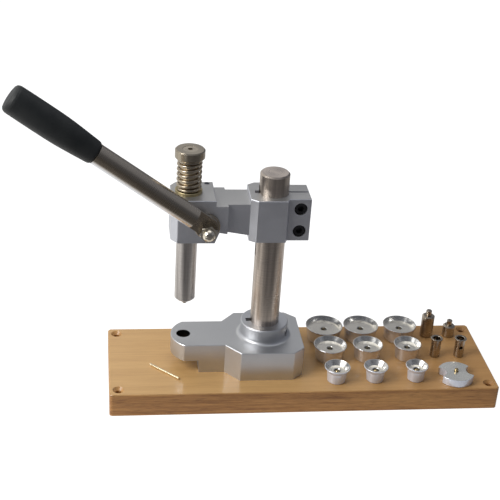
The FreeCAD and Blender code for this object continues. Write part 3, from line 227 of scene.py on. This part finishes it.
def satin_aluminium(name, color=(0.62, 0.635, 0.66), rough=0.36, scale=1.0, metallic=1.0, hole=None, top=1.0, boss=None):
    """Bead-blasted aluminium; hole is the axis (x, y) and radius of a deep socket whose walls are painted near-black, a
    painted shade.
    """
    g = Graph(name)
    fine = g.noise(g.mapping(g.obj, scale=(1, 1, 1)), scale=2600 * scale, detail=2.0, rough=0.6)
    cloud = g.noise(g.obj, scale=38.0, detail=4.0, rough=0.55)
    smear = g.noise(g.mapping(g.obj, scale=(0.25, 1.0, 1.0)), scale=160.0, detail=3.0, rough=0.6)
    base = g.mix(g.range(cloud, 0.3, 0.7, 0.0, 1.0), tuple(c * 0.93 for c in color), tuple(min(1, c * 1.05) for c in color))
    base = g.mix(g.range(fine, 0.35, 0.65, 0.0, 0.35), base, tuple(c * 0.82 for c in color))
    # Painted shade: faces that point up are darkened and warmed by the factor top.
    if top != 1.0:
        tsep = g.nt.nodes.new("ShaderNodeSeparateXYZ")
        g.link(g.normal, tsep.inputs[0])
        base = g.mix(g.range(tsep.outputs[2], 0.8, 0.95, 0.0, 1.0), base, tuple(c * top * t for c, t in zip(color, (1.0, 0.975, 0.90))))
    # Painted shade: the walls of the deep socket are coloured near-black where its shadow falls.
    if hole:
        sep = g.nt.nodes.new("ShaderNodeSeparateXYZ")
        g.link(g.mapping(g.obj, loc=(-hole[0], -hole[1], 0.0)), sep.inputs[0])
        r = g.math("SQRT", g.math("ADD", g.math("MULTIPLY", sep.outputs[0], sep.outputs[0]), g.math("MULTIPLY", sep.outputs[1], sep.outputs[1])))
        nsep = g.nt.nodes.new("ShaderNodeSeparateXYZ")
        g.link(g.normal, nsep.inputs[0])
        wall = g.range(g.math("ABSOLUTE", nsep.outputs[2]), 0.3, 0.6, 1.0, 0.0)
        base = g.mix(g.math("MULTIPLY", g.range(r, hole[2], hole[2] + 0.0001, 1.0, 0.0), wall), base, (0.03, 0.03, 0.03))
    g.set(color=base, metallic=metallic, roughness=g.range(g.math("ADD", g.math("MULTIPLY", smear, 0.6), g.math("MULTIPLY", cloud, 0.4)), 0.3, 0.7, rough - 0.05, rough + 0.07),
          normal=g.bump(fine, 0.10, 0.00003))
    # The lathe-cut boss gets lathe rings; its colour over boss[2] is also darkened, a painted shade that tones down its
    # bright highlight.
    if boss:
        zsep = g.nt.nodes.new("ShaderNodeSeparateXYZ")
        g.link(g.obj, zsep.inputs[0])
        g.set(color=g.mix(g.range(zsep.outputs[2], boss[2], boss[2] + 0.002, 0.0, 1.0), base, tuple(c * 0.86 for c in color)))
        rings = g.noise(g.radial(g.mapping(g.obj, loc=(-boss[0], -boss[1], 0.0)), 1.0, "Z"), scale=900.0, detail=3.0, rough=0.7)
        bsep = g.nt.nodes.new("ShaderNodeSeparateXYZ")
        g.link(g.obj, bsep.inputs[0])
        g.set(normal=g.bump(g.math("MULTIPLY", rings, g.range(bsep.outputs[2], boss[2], boss[2] + 0.002, 0.0, 1.0)), 0.35, 0.00006, g.bump(fine, 0.10, 0.00003)))
    return g.mat


def ground_metal(name, color, rough=0.2, aniso=0.55, axis=None, centre=None, streak=0.12, coarse=900.0, bump=0.12,
                 metallic=1.0, end=1.0, end_tint=(1.0, 1.0, 1.0), painted_light_above=None, under=None, outer=None, over=None):
    """Centreless-ground or lathe-cut metal: fine rings round the axis, faint streaks along it; end brightens the end
    faces, a painted light; outer, over and under paint light and shade by facing, and one more option lightens
    everything over a given height, also painted light.
    """
    g = Graph(name)
    vec = lever_coord(g) if centre == "lever" else offset_coord(g, centre) if centre is not None else g.obj
    rings = g.noise(g.radial(vec, 1.0, axis or "Z"), scale=coarse, detail=3.0, rough=0.65)
    sc = {"Z": (1, 1, 0.04), "X": (0.04, 1, 1), "Y": (1, 0.04, 1)}[axis or "Z"]
    streaks = g.noise(g.mapping(vec, scale=sc), scale=260.0, detail=3.0, rough=0.6)
    blotch = g.noise(vec, scale=45.0, detail=3.0, rough=0.55)
    base = g.mix(g.range(streaks, 0.3, 0.7, 0.0, 1.0), tuple(c * (1.0 - streak) for c in color), tuple(min(1.0, c * (1.0 + streak * 0.6)) for c in color))
    base = g.mix(g.range(rings, 0.3, 0.7, 0.0, 0.4), base, tuple(c * (1.0 - 1.2 * streak) for c in color))
    # Painted light: faces that point away from the axis get a lighter, less metallic copy of the colour.
    if outer:
        ps = g.nt.nodes.new("ShaderNodeSeparateXYZ")
        ns = g.nt.nodes.new("ShaderNodeSeparateXYZ")
        g.link(vec, ps.inputs[0])
        g.link(g.normal, ns.inputs[0])
        facing = g.math("ADD", g.math("MULTIPLY", ps.outputs[0], ns.outputs[0]), g.math("MULTIPLY", ps.outputs[1], ns.outputs[1]))
        outside = g.range(facing, -0.0005, 0.0015, 0.0, 1.0)
        base = g.mix(outside, base, g.mix(g.range(streaks, 0.3, 0.7, 0.0, 1.0), tuple(c * 0.86 for c in outer[0]), outer[0]))
        metallic = g.range(facing, -0.0005, 0.0015, metallic, outer[1])
    # Painted light: faces that point up are mixed towards the lighter colour over.
    if over:
        osep = g.nt.nodes.new("ShaderNodeSeparateXYZ")
        g.link(g.normal, osep.inputs[0])
        base = g.mix(g.range(osep.outputs[2], 0.10, 0.65, 0.0, 0.9), base, over)
    # Painted reflection: faces that point down are mixed towards the pale bluish colour under, the white floor seen
    # below.
    if under:
        usep = g.nt.nodes.new("ShaderNodeSeparateXYZ")
        g.link(g.normal, usep.inputs[0])
        base = g.mix(g.range(usep.outputs[2], -0.72, -0.25, 0.9, 0.0), base, under)
    # Painted light: everything over the given height is lightened and warmed.
    if painted_light_above:
        zsep = g.nt.nodes.new("ShaderNodeSeparateXYZ")
        g.link(g.obj, zsep.inputs[0])
        base = g.mix(g.range(zsep.outputs[2], painted_light_above[0] - 0.0003, painted_light_above[0] + 0.0003, 0.0, 0.85), base, painted_light_above[1])
    # Painted light: faces that point up or down are brightened by end and tinted by end_tint.
    if end != 1.0:
        nsep = g.nt.nodes.new("ShaderNodeSeparateXYZ")
        g.link(g.normal, nsep.inputs[0])
        face = g.range(g.math("ABSOLUTE", nsep.outputs[2]), 0.8, 0.95, 0.0, 1.0)
        painted_end_light = tuple(min(1.0, c * end * t) for c, t in zip(color, end_tint))
        base = g.mix(face, base, g.mix(g.range(rings, 0.35, 0.65, 0.0, 1.0), tuple(c * 0.88 for c in painted_end_light), painted_end_light))
    g.set(color=base, metallic=metallic, roughness=g.range(g.math("ADD", g.math("MULTIPLY", blotch, 0.5), g.math("MULTIPLY", rings, 0.5)), 0.3, 0.7, rough - 0.04, rough + 0.06),
          aniso=aniso, normal=g.bump(rings, bump, 0.00002))
    if aniso:
        t = g.nt.nodes.new("ShaderNodeTangent")
        t.direction_type = "RADIAL"
        t.axis = axis or "Z"
        g.link(t.outputs[0], g.bsdf.inputs["Tangent"])
    return g.mat


def polished_metal(name, color, rough=0.08):
    g = Graph(name)
    micro = g.noise(g.obj, scale=900.0, detail=3.0, rough=0.6)
    cloud = g.noise(g.obj, scale=120.0, detail=3.0)
    base = g.mix(g.range(cloud, 0.3, 0.7, 0.0, 1.0), tuple(c * 0.94 for c in color), color)
    g.set(color=base, metallic=1.0, roughness=g.range(micro, 0.3, 0.7, rough - 0.03, rough + 0.05), normal=g.bump(micro, 0.03, 0.00002))
    return g.mat


def black_oxide(name):
    g = Graph(name)
    fine = g.noise(g.obj, scale=1800.0, detail=3.0, rough=0.6)
    cloud = g.noise(g.obj, scale=200.0, detail=3.0)
    base = g.mix(g.range(cloud, 0.3, 0.7, 0.0, 1.0), (0.012, 0.012, 0.014), (0.030, 0.030, 0.034))
    g.set(color=base, metallic=0.55, roughness=g.range(fine, 0.3, 0.7, 0.32, 0.48), normal=g.bump(fine, 0.12, 0.00003))
    return g.mat


def black_grip(name):
    g = Graph(name)
    pebble = g.voronoi(g.obj, scale=1500.0)
    fine = g.noise(g.obj, scale=2200.0, detail=3.0, rough=0.6)
    cloud = g.noise(g.obj, scale=60.0, detail=4.0, rough=0.55)
    base = g.mix(g.range(cloud, 0.3, 0.7, 0.0, 1.0), (0.010, 0.012, 0.013), (0.019, 0.021, 0.022))
    height = g.math("ADD", g.math("MULTIPLY", pebble, 0.6), g.math("MULTIPLY", fine, 0.5))
    g.set(color=base, metallic=0.0, roughness=g.range(cloud, 0.3, 0.7, 0.46, 0.56), specular=0.35, normal=g.bump(height, 0.22, 0.00010))
    return g.mat


def wood_board(name):
    """Lacquered solid beech: quiet pale face, darker edge with long streaks, small flecks; the edge's darker tone is
    partly its own grain and partly painted shade, and the face is darkened towards the right, a painted shade.
    """
    g = Graph(name)
    v = g.obj
    warp = g.noise(g.mapping(v, scale=(0.6, 3.0, 3.0)), scale=9.0, detail=3.0, rough=0.5)
    sep = g.nt.nodes.new("ShaderNodeSeparateXYZ")
    g.link(v, sep.inputs[0])
    comb = g.nt.nodes.new("ShaderNodeCombineXYZ")
    g.link(sep.outputs[0], comb.inputs[0])
    g.link(g.math("ADD", sep.outputs[1], g.math("MULTIPLY", warp, 0.010)), comb.inputs[1])
    g.link(g.math("ADD", sep.outputs[2], g.math("MULTIPLY", warp, 0.006)), comb.inputs[2])
    wv = comb.outputs[0]
    broad = g.noise(g.mapping(wv, scale=(0.10, 1.0, 1.0)), scale=60.0, detail=4.0, rough=0.55)
    grain = g.noise(g.mapping(wv, scale=(0.035, 1.0, 1.0)), scale=420.0, detail=5.0, rough=0.65)
    pore = g.noise(g.mapping(wv, scale=(0.06, 1.0, 1.0)), scale=1500.0, detail=3.0, rough=0.6)
    fleck = g.voronoi(g.mapping(wv, scale=(0.22, 1.0, 1.0)), scale=900.0)
    top = g.ramp(g.math("ADD", g.math("MULTIPLY", broad, 0.55), g.math("MULTIPLY", grain, 0.45)),
                 [(0.30, (0.480, 0.278, 0.104)), (0.50, (0.575, 0.345, 0.136)), (0.70, (0.650, 0.405, 0.170))])
    top = g.mix(g.range(pore, 0.56, 0.70, 0.0, 0.24), top, (0.38, 0.20, 0.078))
    top = g.mix(g.range(fleck, 0.0, 0.10, 0.22, 0.0), top, (0.30, 0.14, 0.06))
    # The edge is darker than the face: partly the edge's own grain, partly painted shade on faces facing away from the
    # light.
    edge_streak = g.noise(g.mapping(wv, scale=(0.05, 1.0, 1.3)), scale=330.0, detail=6.0, rough=0.7)
    edge = g.ramp(g.math("ADD", g.math("MULTIPLY", broad, 0.35), g.math("MULTIPLY", edge_streak, 0.65)),
                  [(0.32, (0.140, 0.056, 0.020)), (0.47, (0.385, 0.180, 0.058)), (0.66, (0.560, 0.290, 0.098))])
    edge = g.mix(g.range(pore, 0.52, 0.66, 0.0, 0.45), edge, (0.10, 0.04, 0.022))
    nsep = g.nt.nodes.new("ShaderNodeSeparateXYZ")
    g.link(g.normal, nsep.inputs[0])
    up = g.math("ABSOLUTE", nsep.outputs[2])
    color = g.mix(g.range(up, 0.55, 0.85, 0.0, 1.0), edge, top)
    height = g.math("ADD", g.math("MULTIPLY", grain, 0.6), g.math("MULTIPLY", pore, 0.4))
    # Painted shade: the face darkens towards the right, and the lacquer coat thins there so the left carries more
    # sheen, a painted sheen.
    color = g.mix(g.math("MULTIPLY", g.range(sep.outputs[0], -0.03, 0.10, 0.0, 0.30), up), color, (0.300, 0.105, 0.026))
    g.set(color=color, metallic=0.0, roughness=g.range(grain, 0.3, 0.7, 0.34, 0.46),
          specular=0.32,
          coat=g.math("MULTIPLY", g.range(up, 0.55, 0.85, 0.2, 1.0), g.range(sep.outputs[0], -0.10, 0.10, 0.72, 0.14)), coat_rough=0.12,
          normal=g.bump(height, 0.16, 0.00012))
    return g.mat


def assign(node, mat):
    o = nodes[node] if isinstance(node, str) else node
    if not o.data.materials:
        o.data.materials.append(mat)
    for i in range(len(o.data.materials)):
        o.data.materials[i] = mat


def axis_of(node):
    lo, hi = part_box(node)
    return ((lo.x + hi.x) / 2, (lo.y + hi.y) / 2, (lo.z + hi.z) / 2)


M_WOOD = wood_board("beech_lacquered")
# The foot's socket walls, top faces and upper boss, and the arm's top faces, carry painted shade.
M_FOOT = satin_aluminium("foot_satin_aluminium", (0.64, 0.655, 0.69), 0.42, hole=(-0.10573, 0.0, 0.0066), top=0.93, boss=(-0.0348, 0.0, 0.0475))
M_ARM = satin_aluminium("arm_satin_aluminium", (0.635, 0.65, 0.70), 0.40, metallic=0.86, top=0.79)
M_BLACK = black_oxide("black_oxide")
M_GRIP = black_grip("grip_black")
M_NUT = polished_metal("nut_polished", (0.78, 0.72, 0.61), 0.18)
M_KEY = ground_metal("key_steel", (0.45, 0.45, 0.45), 0.3, 0.0)
M_PEG = polished_metal("peg_brass", (0.55, 0.42, 0.22), 0.24)
M_BAR = polished_metal("tommy_bar_brass", (0.93, 0.80, 0.56), 0.16)

STEEL_COLUMN = (0.58, 0.51, 0.45)
STEEL_RAM = (0.66, 0.625, 0.60)
STEEL_LEVER = (0.40, 0.34, 0.265)
STEEL_CAP = (0.42, 0.37, 0.295)
STEEL_SPRING = (0.50, 0.43, 0.33)
STEEL_DARK = (0.44, 0.385, 0.32)
# The second colour is a painted-light copy for the outer walls of the front-row dies.
ALU_DIE, ALU_FRONT_LIT = (0.88, 0.87, 0.85), (0.84, 0.88, 0.99)

assign("base_board", M_WOOD)
assign("foot_block", M_FOOT)
assign("press_arm", M_ARM)
for n in ("foot_screws", "clamp_screws", "column_grub_screw", "bearing_set_screw", "shaft_retaining_ring"):
    assign(n, M_BLACK)
for n in ("foot_key", "arm_key"):
    assign(n, M_KEY)
assign("lever_grip", M_GRIP)
assign("acorn_nut", M_NUT)
assign("die_pegs", M_PEG)
assign("tommy_bar", M_BAR)
# end brightens the end faces of the column, ram cap and cap screw: painted light.
for n, col, r in (("column", STEEL_COLUMN, 0.29), ("ram", STEEL_RAM, 0.33), ("ram_cap", STEEL_CAP, 0.21), ("cap_screw", STEEL_CAP, 0.24),
                  ("ram_tip", STEEL_DARK, 0.3), ("upper_guide_bush", (0.50, 0.42, 0.24), 0.32),
                  ("lower_guide_bush", (0.50, 0.42, 0.24), 0.32)):
    # Painted light: the ram's neck inside the spring is lightened and warmed.
    assign(n, ground_metal(n + "_finish", col, r, 0.5, "Z", axis_of(n), 0.42 if n in ("column", "ram") else 0.16, bump=0.05 if n in ("column", "ram") else 0.10, end={"column": 1.45, "ram_cap": 1.4, "cap_screw": 1.7}.get(n, 1.0),
                           painted_light_above=(0.1885, (0.80, 0.70, 0.54)) if n == "ram" else None))
for n in ("front_bearing_bush", "rear_bearing_bush", "pinion_shaft", "rear_thrust_washer"):
    assign(n, ground_metal(n + "_finish", STEEL_CAP, 0.26, 0.0, "Y", axis_of(n)))
# The lever gets a painted lighter band on top (over) and a painted reflection of the floor underneath (under).
assign("lever_rod", ground_metal("lever_rod_finish", STEEL_LEVER, 0.26, 0.0, "X", "lever", 0.24, 1700.0, 0.008, under=(0.86, 0.90, 0.98), over=(0.60, 0.54, 0.46)))
# The dies' outer walls get a painted lighter colour, brightest on the front row, and their end faces a painted
# brighter, warmer tone.
for n in nodes:
    if n.startswith("case_die") or n == "notched_disc":
        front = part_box(n)[0].y < -0.04 or n == "notched_disc"
        assign(n, ground_metal(n + "_finish", ALU_DIE, 0.20, 0.6, "Z", axis_of(n), 0.26, 1400.0, 0.34, metallic=0.90,
                               end=1.25 if n == "notched_disc" else 1.05, end_tint=(1.0, 0.965, 0.88),
                               outer=(ALU_FRONT_LIT, 0.32) if front else ((0.80, 0.80, 0.83), 0.82)))
    elif n.endswith("adapter") or n.startswith("flanged_sleeve"):
        assign(n, ground_metal(n + "_finish", STEEL_DARK, 0.26, 0.4, "Z", axis_of(n)))

# ------------------------------------------------------------- return spring
def coil_spring(name, x, y, low, high, coil_r, wire_r, closed, open_turns, start_deg, steps=56, sides=20):
    """Round wire wound with closed end turns; its two ends are rounded over."""
    closed_rise = 2.0 * wire_r + 0.00012
    open_rise = (high - low - 2 * closed * closed_rise) / open_turns
    total = 2 * closed + open_turns

    def height(t):
        if t < closed:
            return low + closed_rise * t
        if t < closed + open_turns:
            return low + closed_rise * closed + open_rise * (t - closed)
        return low + closed_rise * closed + open_rise * open_turns + closed_rise * (t - closed - open_turns)

    count = int(round(total * steps))
    line = []
    for i in range(count + 1):
        t = total * i / count
        a = math.radians(start_deg) + 2 * math.pi * t
        line.append(Vector((x + coil_r * math.cos(a), y + coil_r * math.sin(a), height(t))))
    bm = bmesh.new()
    rings = []

    def ring(centre, tangent, radius):
        out = Vector((centre.x - x, centre.y - y, 0.0)).normalized()
        out = (out - tangent * out.dot(tangent)).normalized()
        side = tangent.cross(out)
        rings.append([bm.verts.new(centre + radius * (math.cos(f) * out + math.sin(f) * side))
                      for f in (2 * math.pi * k / sides for k in range(sides))])

    first = (line[1] - line[0]).normalized()
    last = (line[-1] - line[-2]).normalized()
    for back, share in ((-0.0, 0.55), (0.00012, 0.78), (0.00035, 0.94)):
        ring(line[0] + first * back, first, wire_r * share)
    for i in range(1, count):
        ring(line[i], (line[i + 1] - line[i - 1]).normalized(), wire_r)
    for back, share in ((0.00035, 0.94), (0.00012, 0.78), (0.0, 0.55)):
        ring(line[-1] - last * back, last, wire_r * share)
    for a, b in zip(rings, rings[1:]):
        for k in range(sides):
            bm.faces.new((a[k], a[(k + 1) % sides], b[(k + 1) % sides], b[k]))
    bm.faces.new(list(reversed(rings[0])))
    bm.faces.new(rings[-1])
    bmesh.ops.recalc_face_normals(bm, faces=bm.faces)
    for f in bm.faces:
        f.smooth = True
    mesh = bpy.data.meshes.new(name)
    bm.to_mesh(mesh)
    bm.free()
    o = bpy.data.objects.new(name, mesh)
    scene.collection.objects.link(o)
    return o


seat_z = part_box("upper_guide_bush")[1].z + 0.00005
cap_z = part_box("ram_cap")[0].z - 0.00005
spring_x = (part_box("ram_cap")[0].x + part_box("ram_cap")[1].x) / 2
WIRE_R, COIL_R = 0.00115, 0.00935
spring = coil_spring("spring_coil", spring_x, 0.0, seat_z + WIRE_R, cap_z - WIRE_R, COIL_R, WIRE_R, 0.6, 4.4, 200.0)
spring.data.materials.append(ground_metal("spring_coil_finish", STEEL_SPRING, 0.24, 0.0, "Z", (spring_x, 0.0, seat_z), 0.20, 1500.0, 0.15))
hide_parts("return_spring")
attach(spring, "arm")
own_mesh(spring)

# ------------------------------------------------------- floor, light, camera
floor_mesh = bpy.data.meshes.new("floor")
bm = bmesh.new()
bmesh.ops.create_grid(bm, x_segments=2, y_segments=2, size=6.0)
bm.to_mesh(floor_mesh)
bm.free()
floor = bpy.data.objects.new("floor", floor_mesh)
scene.collection.objects.link(floor)
floor.location = (0, 0, -0.0002)


def smooth_step(tree, v, a, b, c=0.0, d=1.0):
    n = tree.nodes.new("ShaderNodeMapRange")
    n.interpolation_type = "SMOOTHSTEP"
    tree.links.new(v, n.inputs["Value"])
    for k, x in (("From Min", a), ("From Max", b), ("To Min", c), ("To Max", d)):
        n.inputs[k].default_value = x
    return n.outputs["Result"]


def tree_math(tree, op, a, b=0.0):
    n = tree.nodes.new("ShaderNodeMath")
    n.operation = op
    for i, v in enumerate((a, b)):
        if isinstance(v, bpy.types.NodeSocket):
            tree.links.new(v, n.inputs[i])
        else:
            n.inputs[i].default_value = v
    return n.outputs[0]


# The sheet under the press is white where it is seen.  In reflections it runs
# from bright at the left and back to dim in front, as in a room with one window.
g = Graph("floor_pale")
sep = g.nt.nodes.new("ShaderNodeSeparateXYZ")
g.link(g.obj, sep.inputs[0])
front_fall = smooth_step(g.nt, sep.outputs[1], -0.17, -0.05)
left_side = smooth_step(g.nt, sep.outputs[0], -0.30, -0.62)
right_side = smooth_step(g.nt, sep.outputs[0], 0.40, 0.80)
right_dim = smooth_step(g.nt, sep.outputs[0], 0.14, 0.34, 1.0, 0.30)
lit = tree_math(g.nt, "MAXIMUM", tree_math(g.nt, "MULTIPLY", front_fall, right_dim), tree_math(g.nt, "MAXIMUM", left_side, tree_math(g.nt, "MULTIPLY", right_side, 0.10)))
shade = g.mix(lit, FLOOR_DIM, FLOOR_LIT)
g.set(color=shade, roughness=0.9, specular=0.0)
g.link(shade, g.bsdf.inputs["Emission Color"])
g.bsdf.inputs["Emission Strength"].default_value = FLOOR_GLOW
seen = g.nt.nodes.new("ShaderNodeBsdfPrincipled")
seen.inputs["Base Color"].default_value = (0.30, 0.30, 0.30, 1.0)
seen.inputs["Roughness"].default_value = 0.95
seen.inputs["Specular IOR Level"].default_value = 0.0
seen.inputs["Emission Color"].default_value = (1.0, 1.0, 1.0, 1.0)
seen.inputs["Emission Strength"].default_value = 0.93
path = g.nt.nodes.new("ShaderNodeLightPath")
either = g.nt.nodes.new("ShaderNodeMixShader")
g.link(path.outputs["Is Camera Ray"], either.inputs[0])
g.link(g.bsdf.outputs[0], either.inputs[1])
g.link(seen.outputs[0], either.inputs[2])
g.link(either.outputs[0], next(n for n in g.nt.nodes if n.type == "OUTPUT_MATERIAL").inputs["Surface"])
floor.data.materials.append(g.mat)

# The room: a broad pale wall at the back that ends on the right, a window at
# the left, a dim ceiling and a dark front.
world = bpy.data.worlds.new("studio")
scene.world = world
world.use_nodes = True
wt = world.node_tree
wt.nodes.clear()
out = wt.nodes.new("ShaderNodeOutputWorld")
bg = wt.nodes.new("ShaderNodeBackground")
tc = wt.nodes.new("ShaderNodeTexCoord")
sx = wt.nodes.new("ShaderNodeSeparateXYZ")
wt.links.new(tc.outputs["Generated"], sx.inputs[0])
wx, wy, wz = sx.outputs[0], sx.outputs[1], sx.outputs[2]
az = tree_math(wt, "MULTIPLY", tree_math(wt, "ARCTAN2", wx, wy), 180.0 / math.pi)


def window(lo0, lo1, hi0, hi1, level, z0=-0.2, z1=0.0, z2=1.1, z3=1.2):
    w = tree_math(wt, "MULTIPLY", smooth_step(wt, az, lo0, lo1), smooth_step(wt, az, hi0, hi1, 1.0, 0.0))
    v = tree_math(wt, "MULTIPLY", smooth_step(wt, wz, z0, z1), smooth_step(wt, wz, z2, z3, 1.0, 0.0))
    return tree_math(wt, "MULTIPLY", tree_math(wt, "MULTIPLY", w, v), level)


def add(values):
    total = values[0]
    for v in values[1:]:
        total = tree_math(wt, "ADD", total, v)
    return total


room = add(ROOM(window, smooth_step(wt, wz, 0.55, 0.98)))
tint = wt.nodes.new("ShaderNodeMix"); tint.data_type = "RGBA"
wt.links.new(smooth_step(wt, room, 0.05, 0.7), tint.inputs[0])
tint.inputs[6].default_value = (0.92, 0.96, 1.10, 1.0)
tint.inputs[7].default_value = (1.0, 0.99, 0.97, 1.0)
scale_by = wt.nodes.new("ShaderNodeVectorMath"); scale_by.operation = "SCALE"
wt.links.new(tint.outputs[2], scale_by.inputs[0])
wt.links.new(room, scale_by.inputs["Scale"])
lp = wt.nodes.new("ShaderNodeLightPath")
m3 = wt.nodes.new("ShaderNodeMix"); m3.data_type = "RGBA"
wt.links.new(lp.outputs["Is Camera Ray"], m3.inputs[0])
wt.links.new(scale_by.outputs[0], m3.inputs[6])
m3.inputs[7].default_value = (1.0, 1.0, 1.0, 1.0)
wt.links.new(m3.outputs[2], bg.inputs["Color"])
bg.inputs["Strength"].default_value = 1.0
wt.links.new(bg.outputs[0], out.inputs[0])


def area(name, loc, target, size, power, color=(1, 1, 1), size_y=None):
    d = bpy.data.lights.new(name, "AREA")
    d.energy = power
    d.color = color
    d.size = size
    if size_y:
        d.shape = "RECTANGLE"
        d.size_y = size_y
    o = bpy.data.objects.new(name, d)
    scene.collection.objects.link(o)
    o.location = loc
    o.rotation_euler = (Vector(target) - Vector(loc)).to_track_quat("-Z", "Y").to_euler()
    return o


area("key_left", (-0.62, -0.25, 0.62), (0.0, 0.0, 0.05), 0.42, 4.6, (1.0, 0.985, 0.955))
area("top_soft", (0.05, 0.30, 1.2), (0.0, 0.0, 0.0), 0.9, 2.6)

cam_data = bpy.data.cameras.new("camera")
cam = bpy.data.objects.new("camera", cam_data)
scene.collection.objects.link(cam)
scene.camera = cam
YAW, PITCH, ROLL = 0.150177611, 0.485825037, 0.0676555054
d = Vector((math.sin(YAW) * math.cos(PITCH), math.cos(YAW) * math.cos(PITCH), -math.sin(PITCH)))
r0 = Vector((math.cos(YAW), -math.sin(YAW), 0.0))
u0 = r0.cross(d)
cr, sr = math.cos(ROLL), math.sin(ROLL)
right = cr * r0 + sr * u0
up = -sr * r0 + cr * u0
rot = Matrix((right, up, -d)).transposed()
cam.matrix_world = Matrix.Translation(Vector((-0.183056, -0.868814, 0.595221))) @ rot.to_4x4()
cam_data.sensor_width = 36.0
cam_data.lens = 1169.16976 / 500.0 * 36.0
cam_data.clip_start = 0.01
cam_data.clip_end = 50.0
cam_data.dof.use_dof = False

scene.view_settings.view_transform = "Standard"
scene.view_settings.look = "None"
scene.view_settings.exposure = 0.0
scene.view_settings.gamma = 1.0
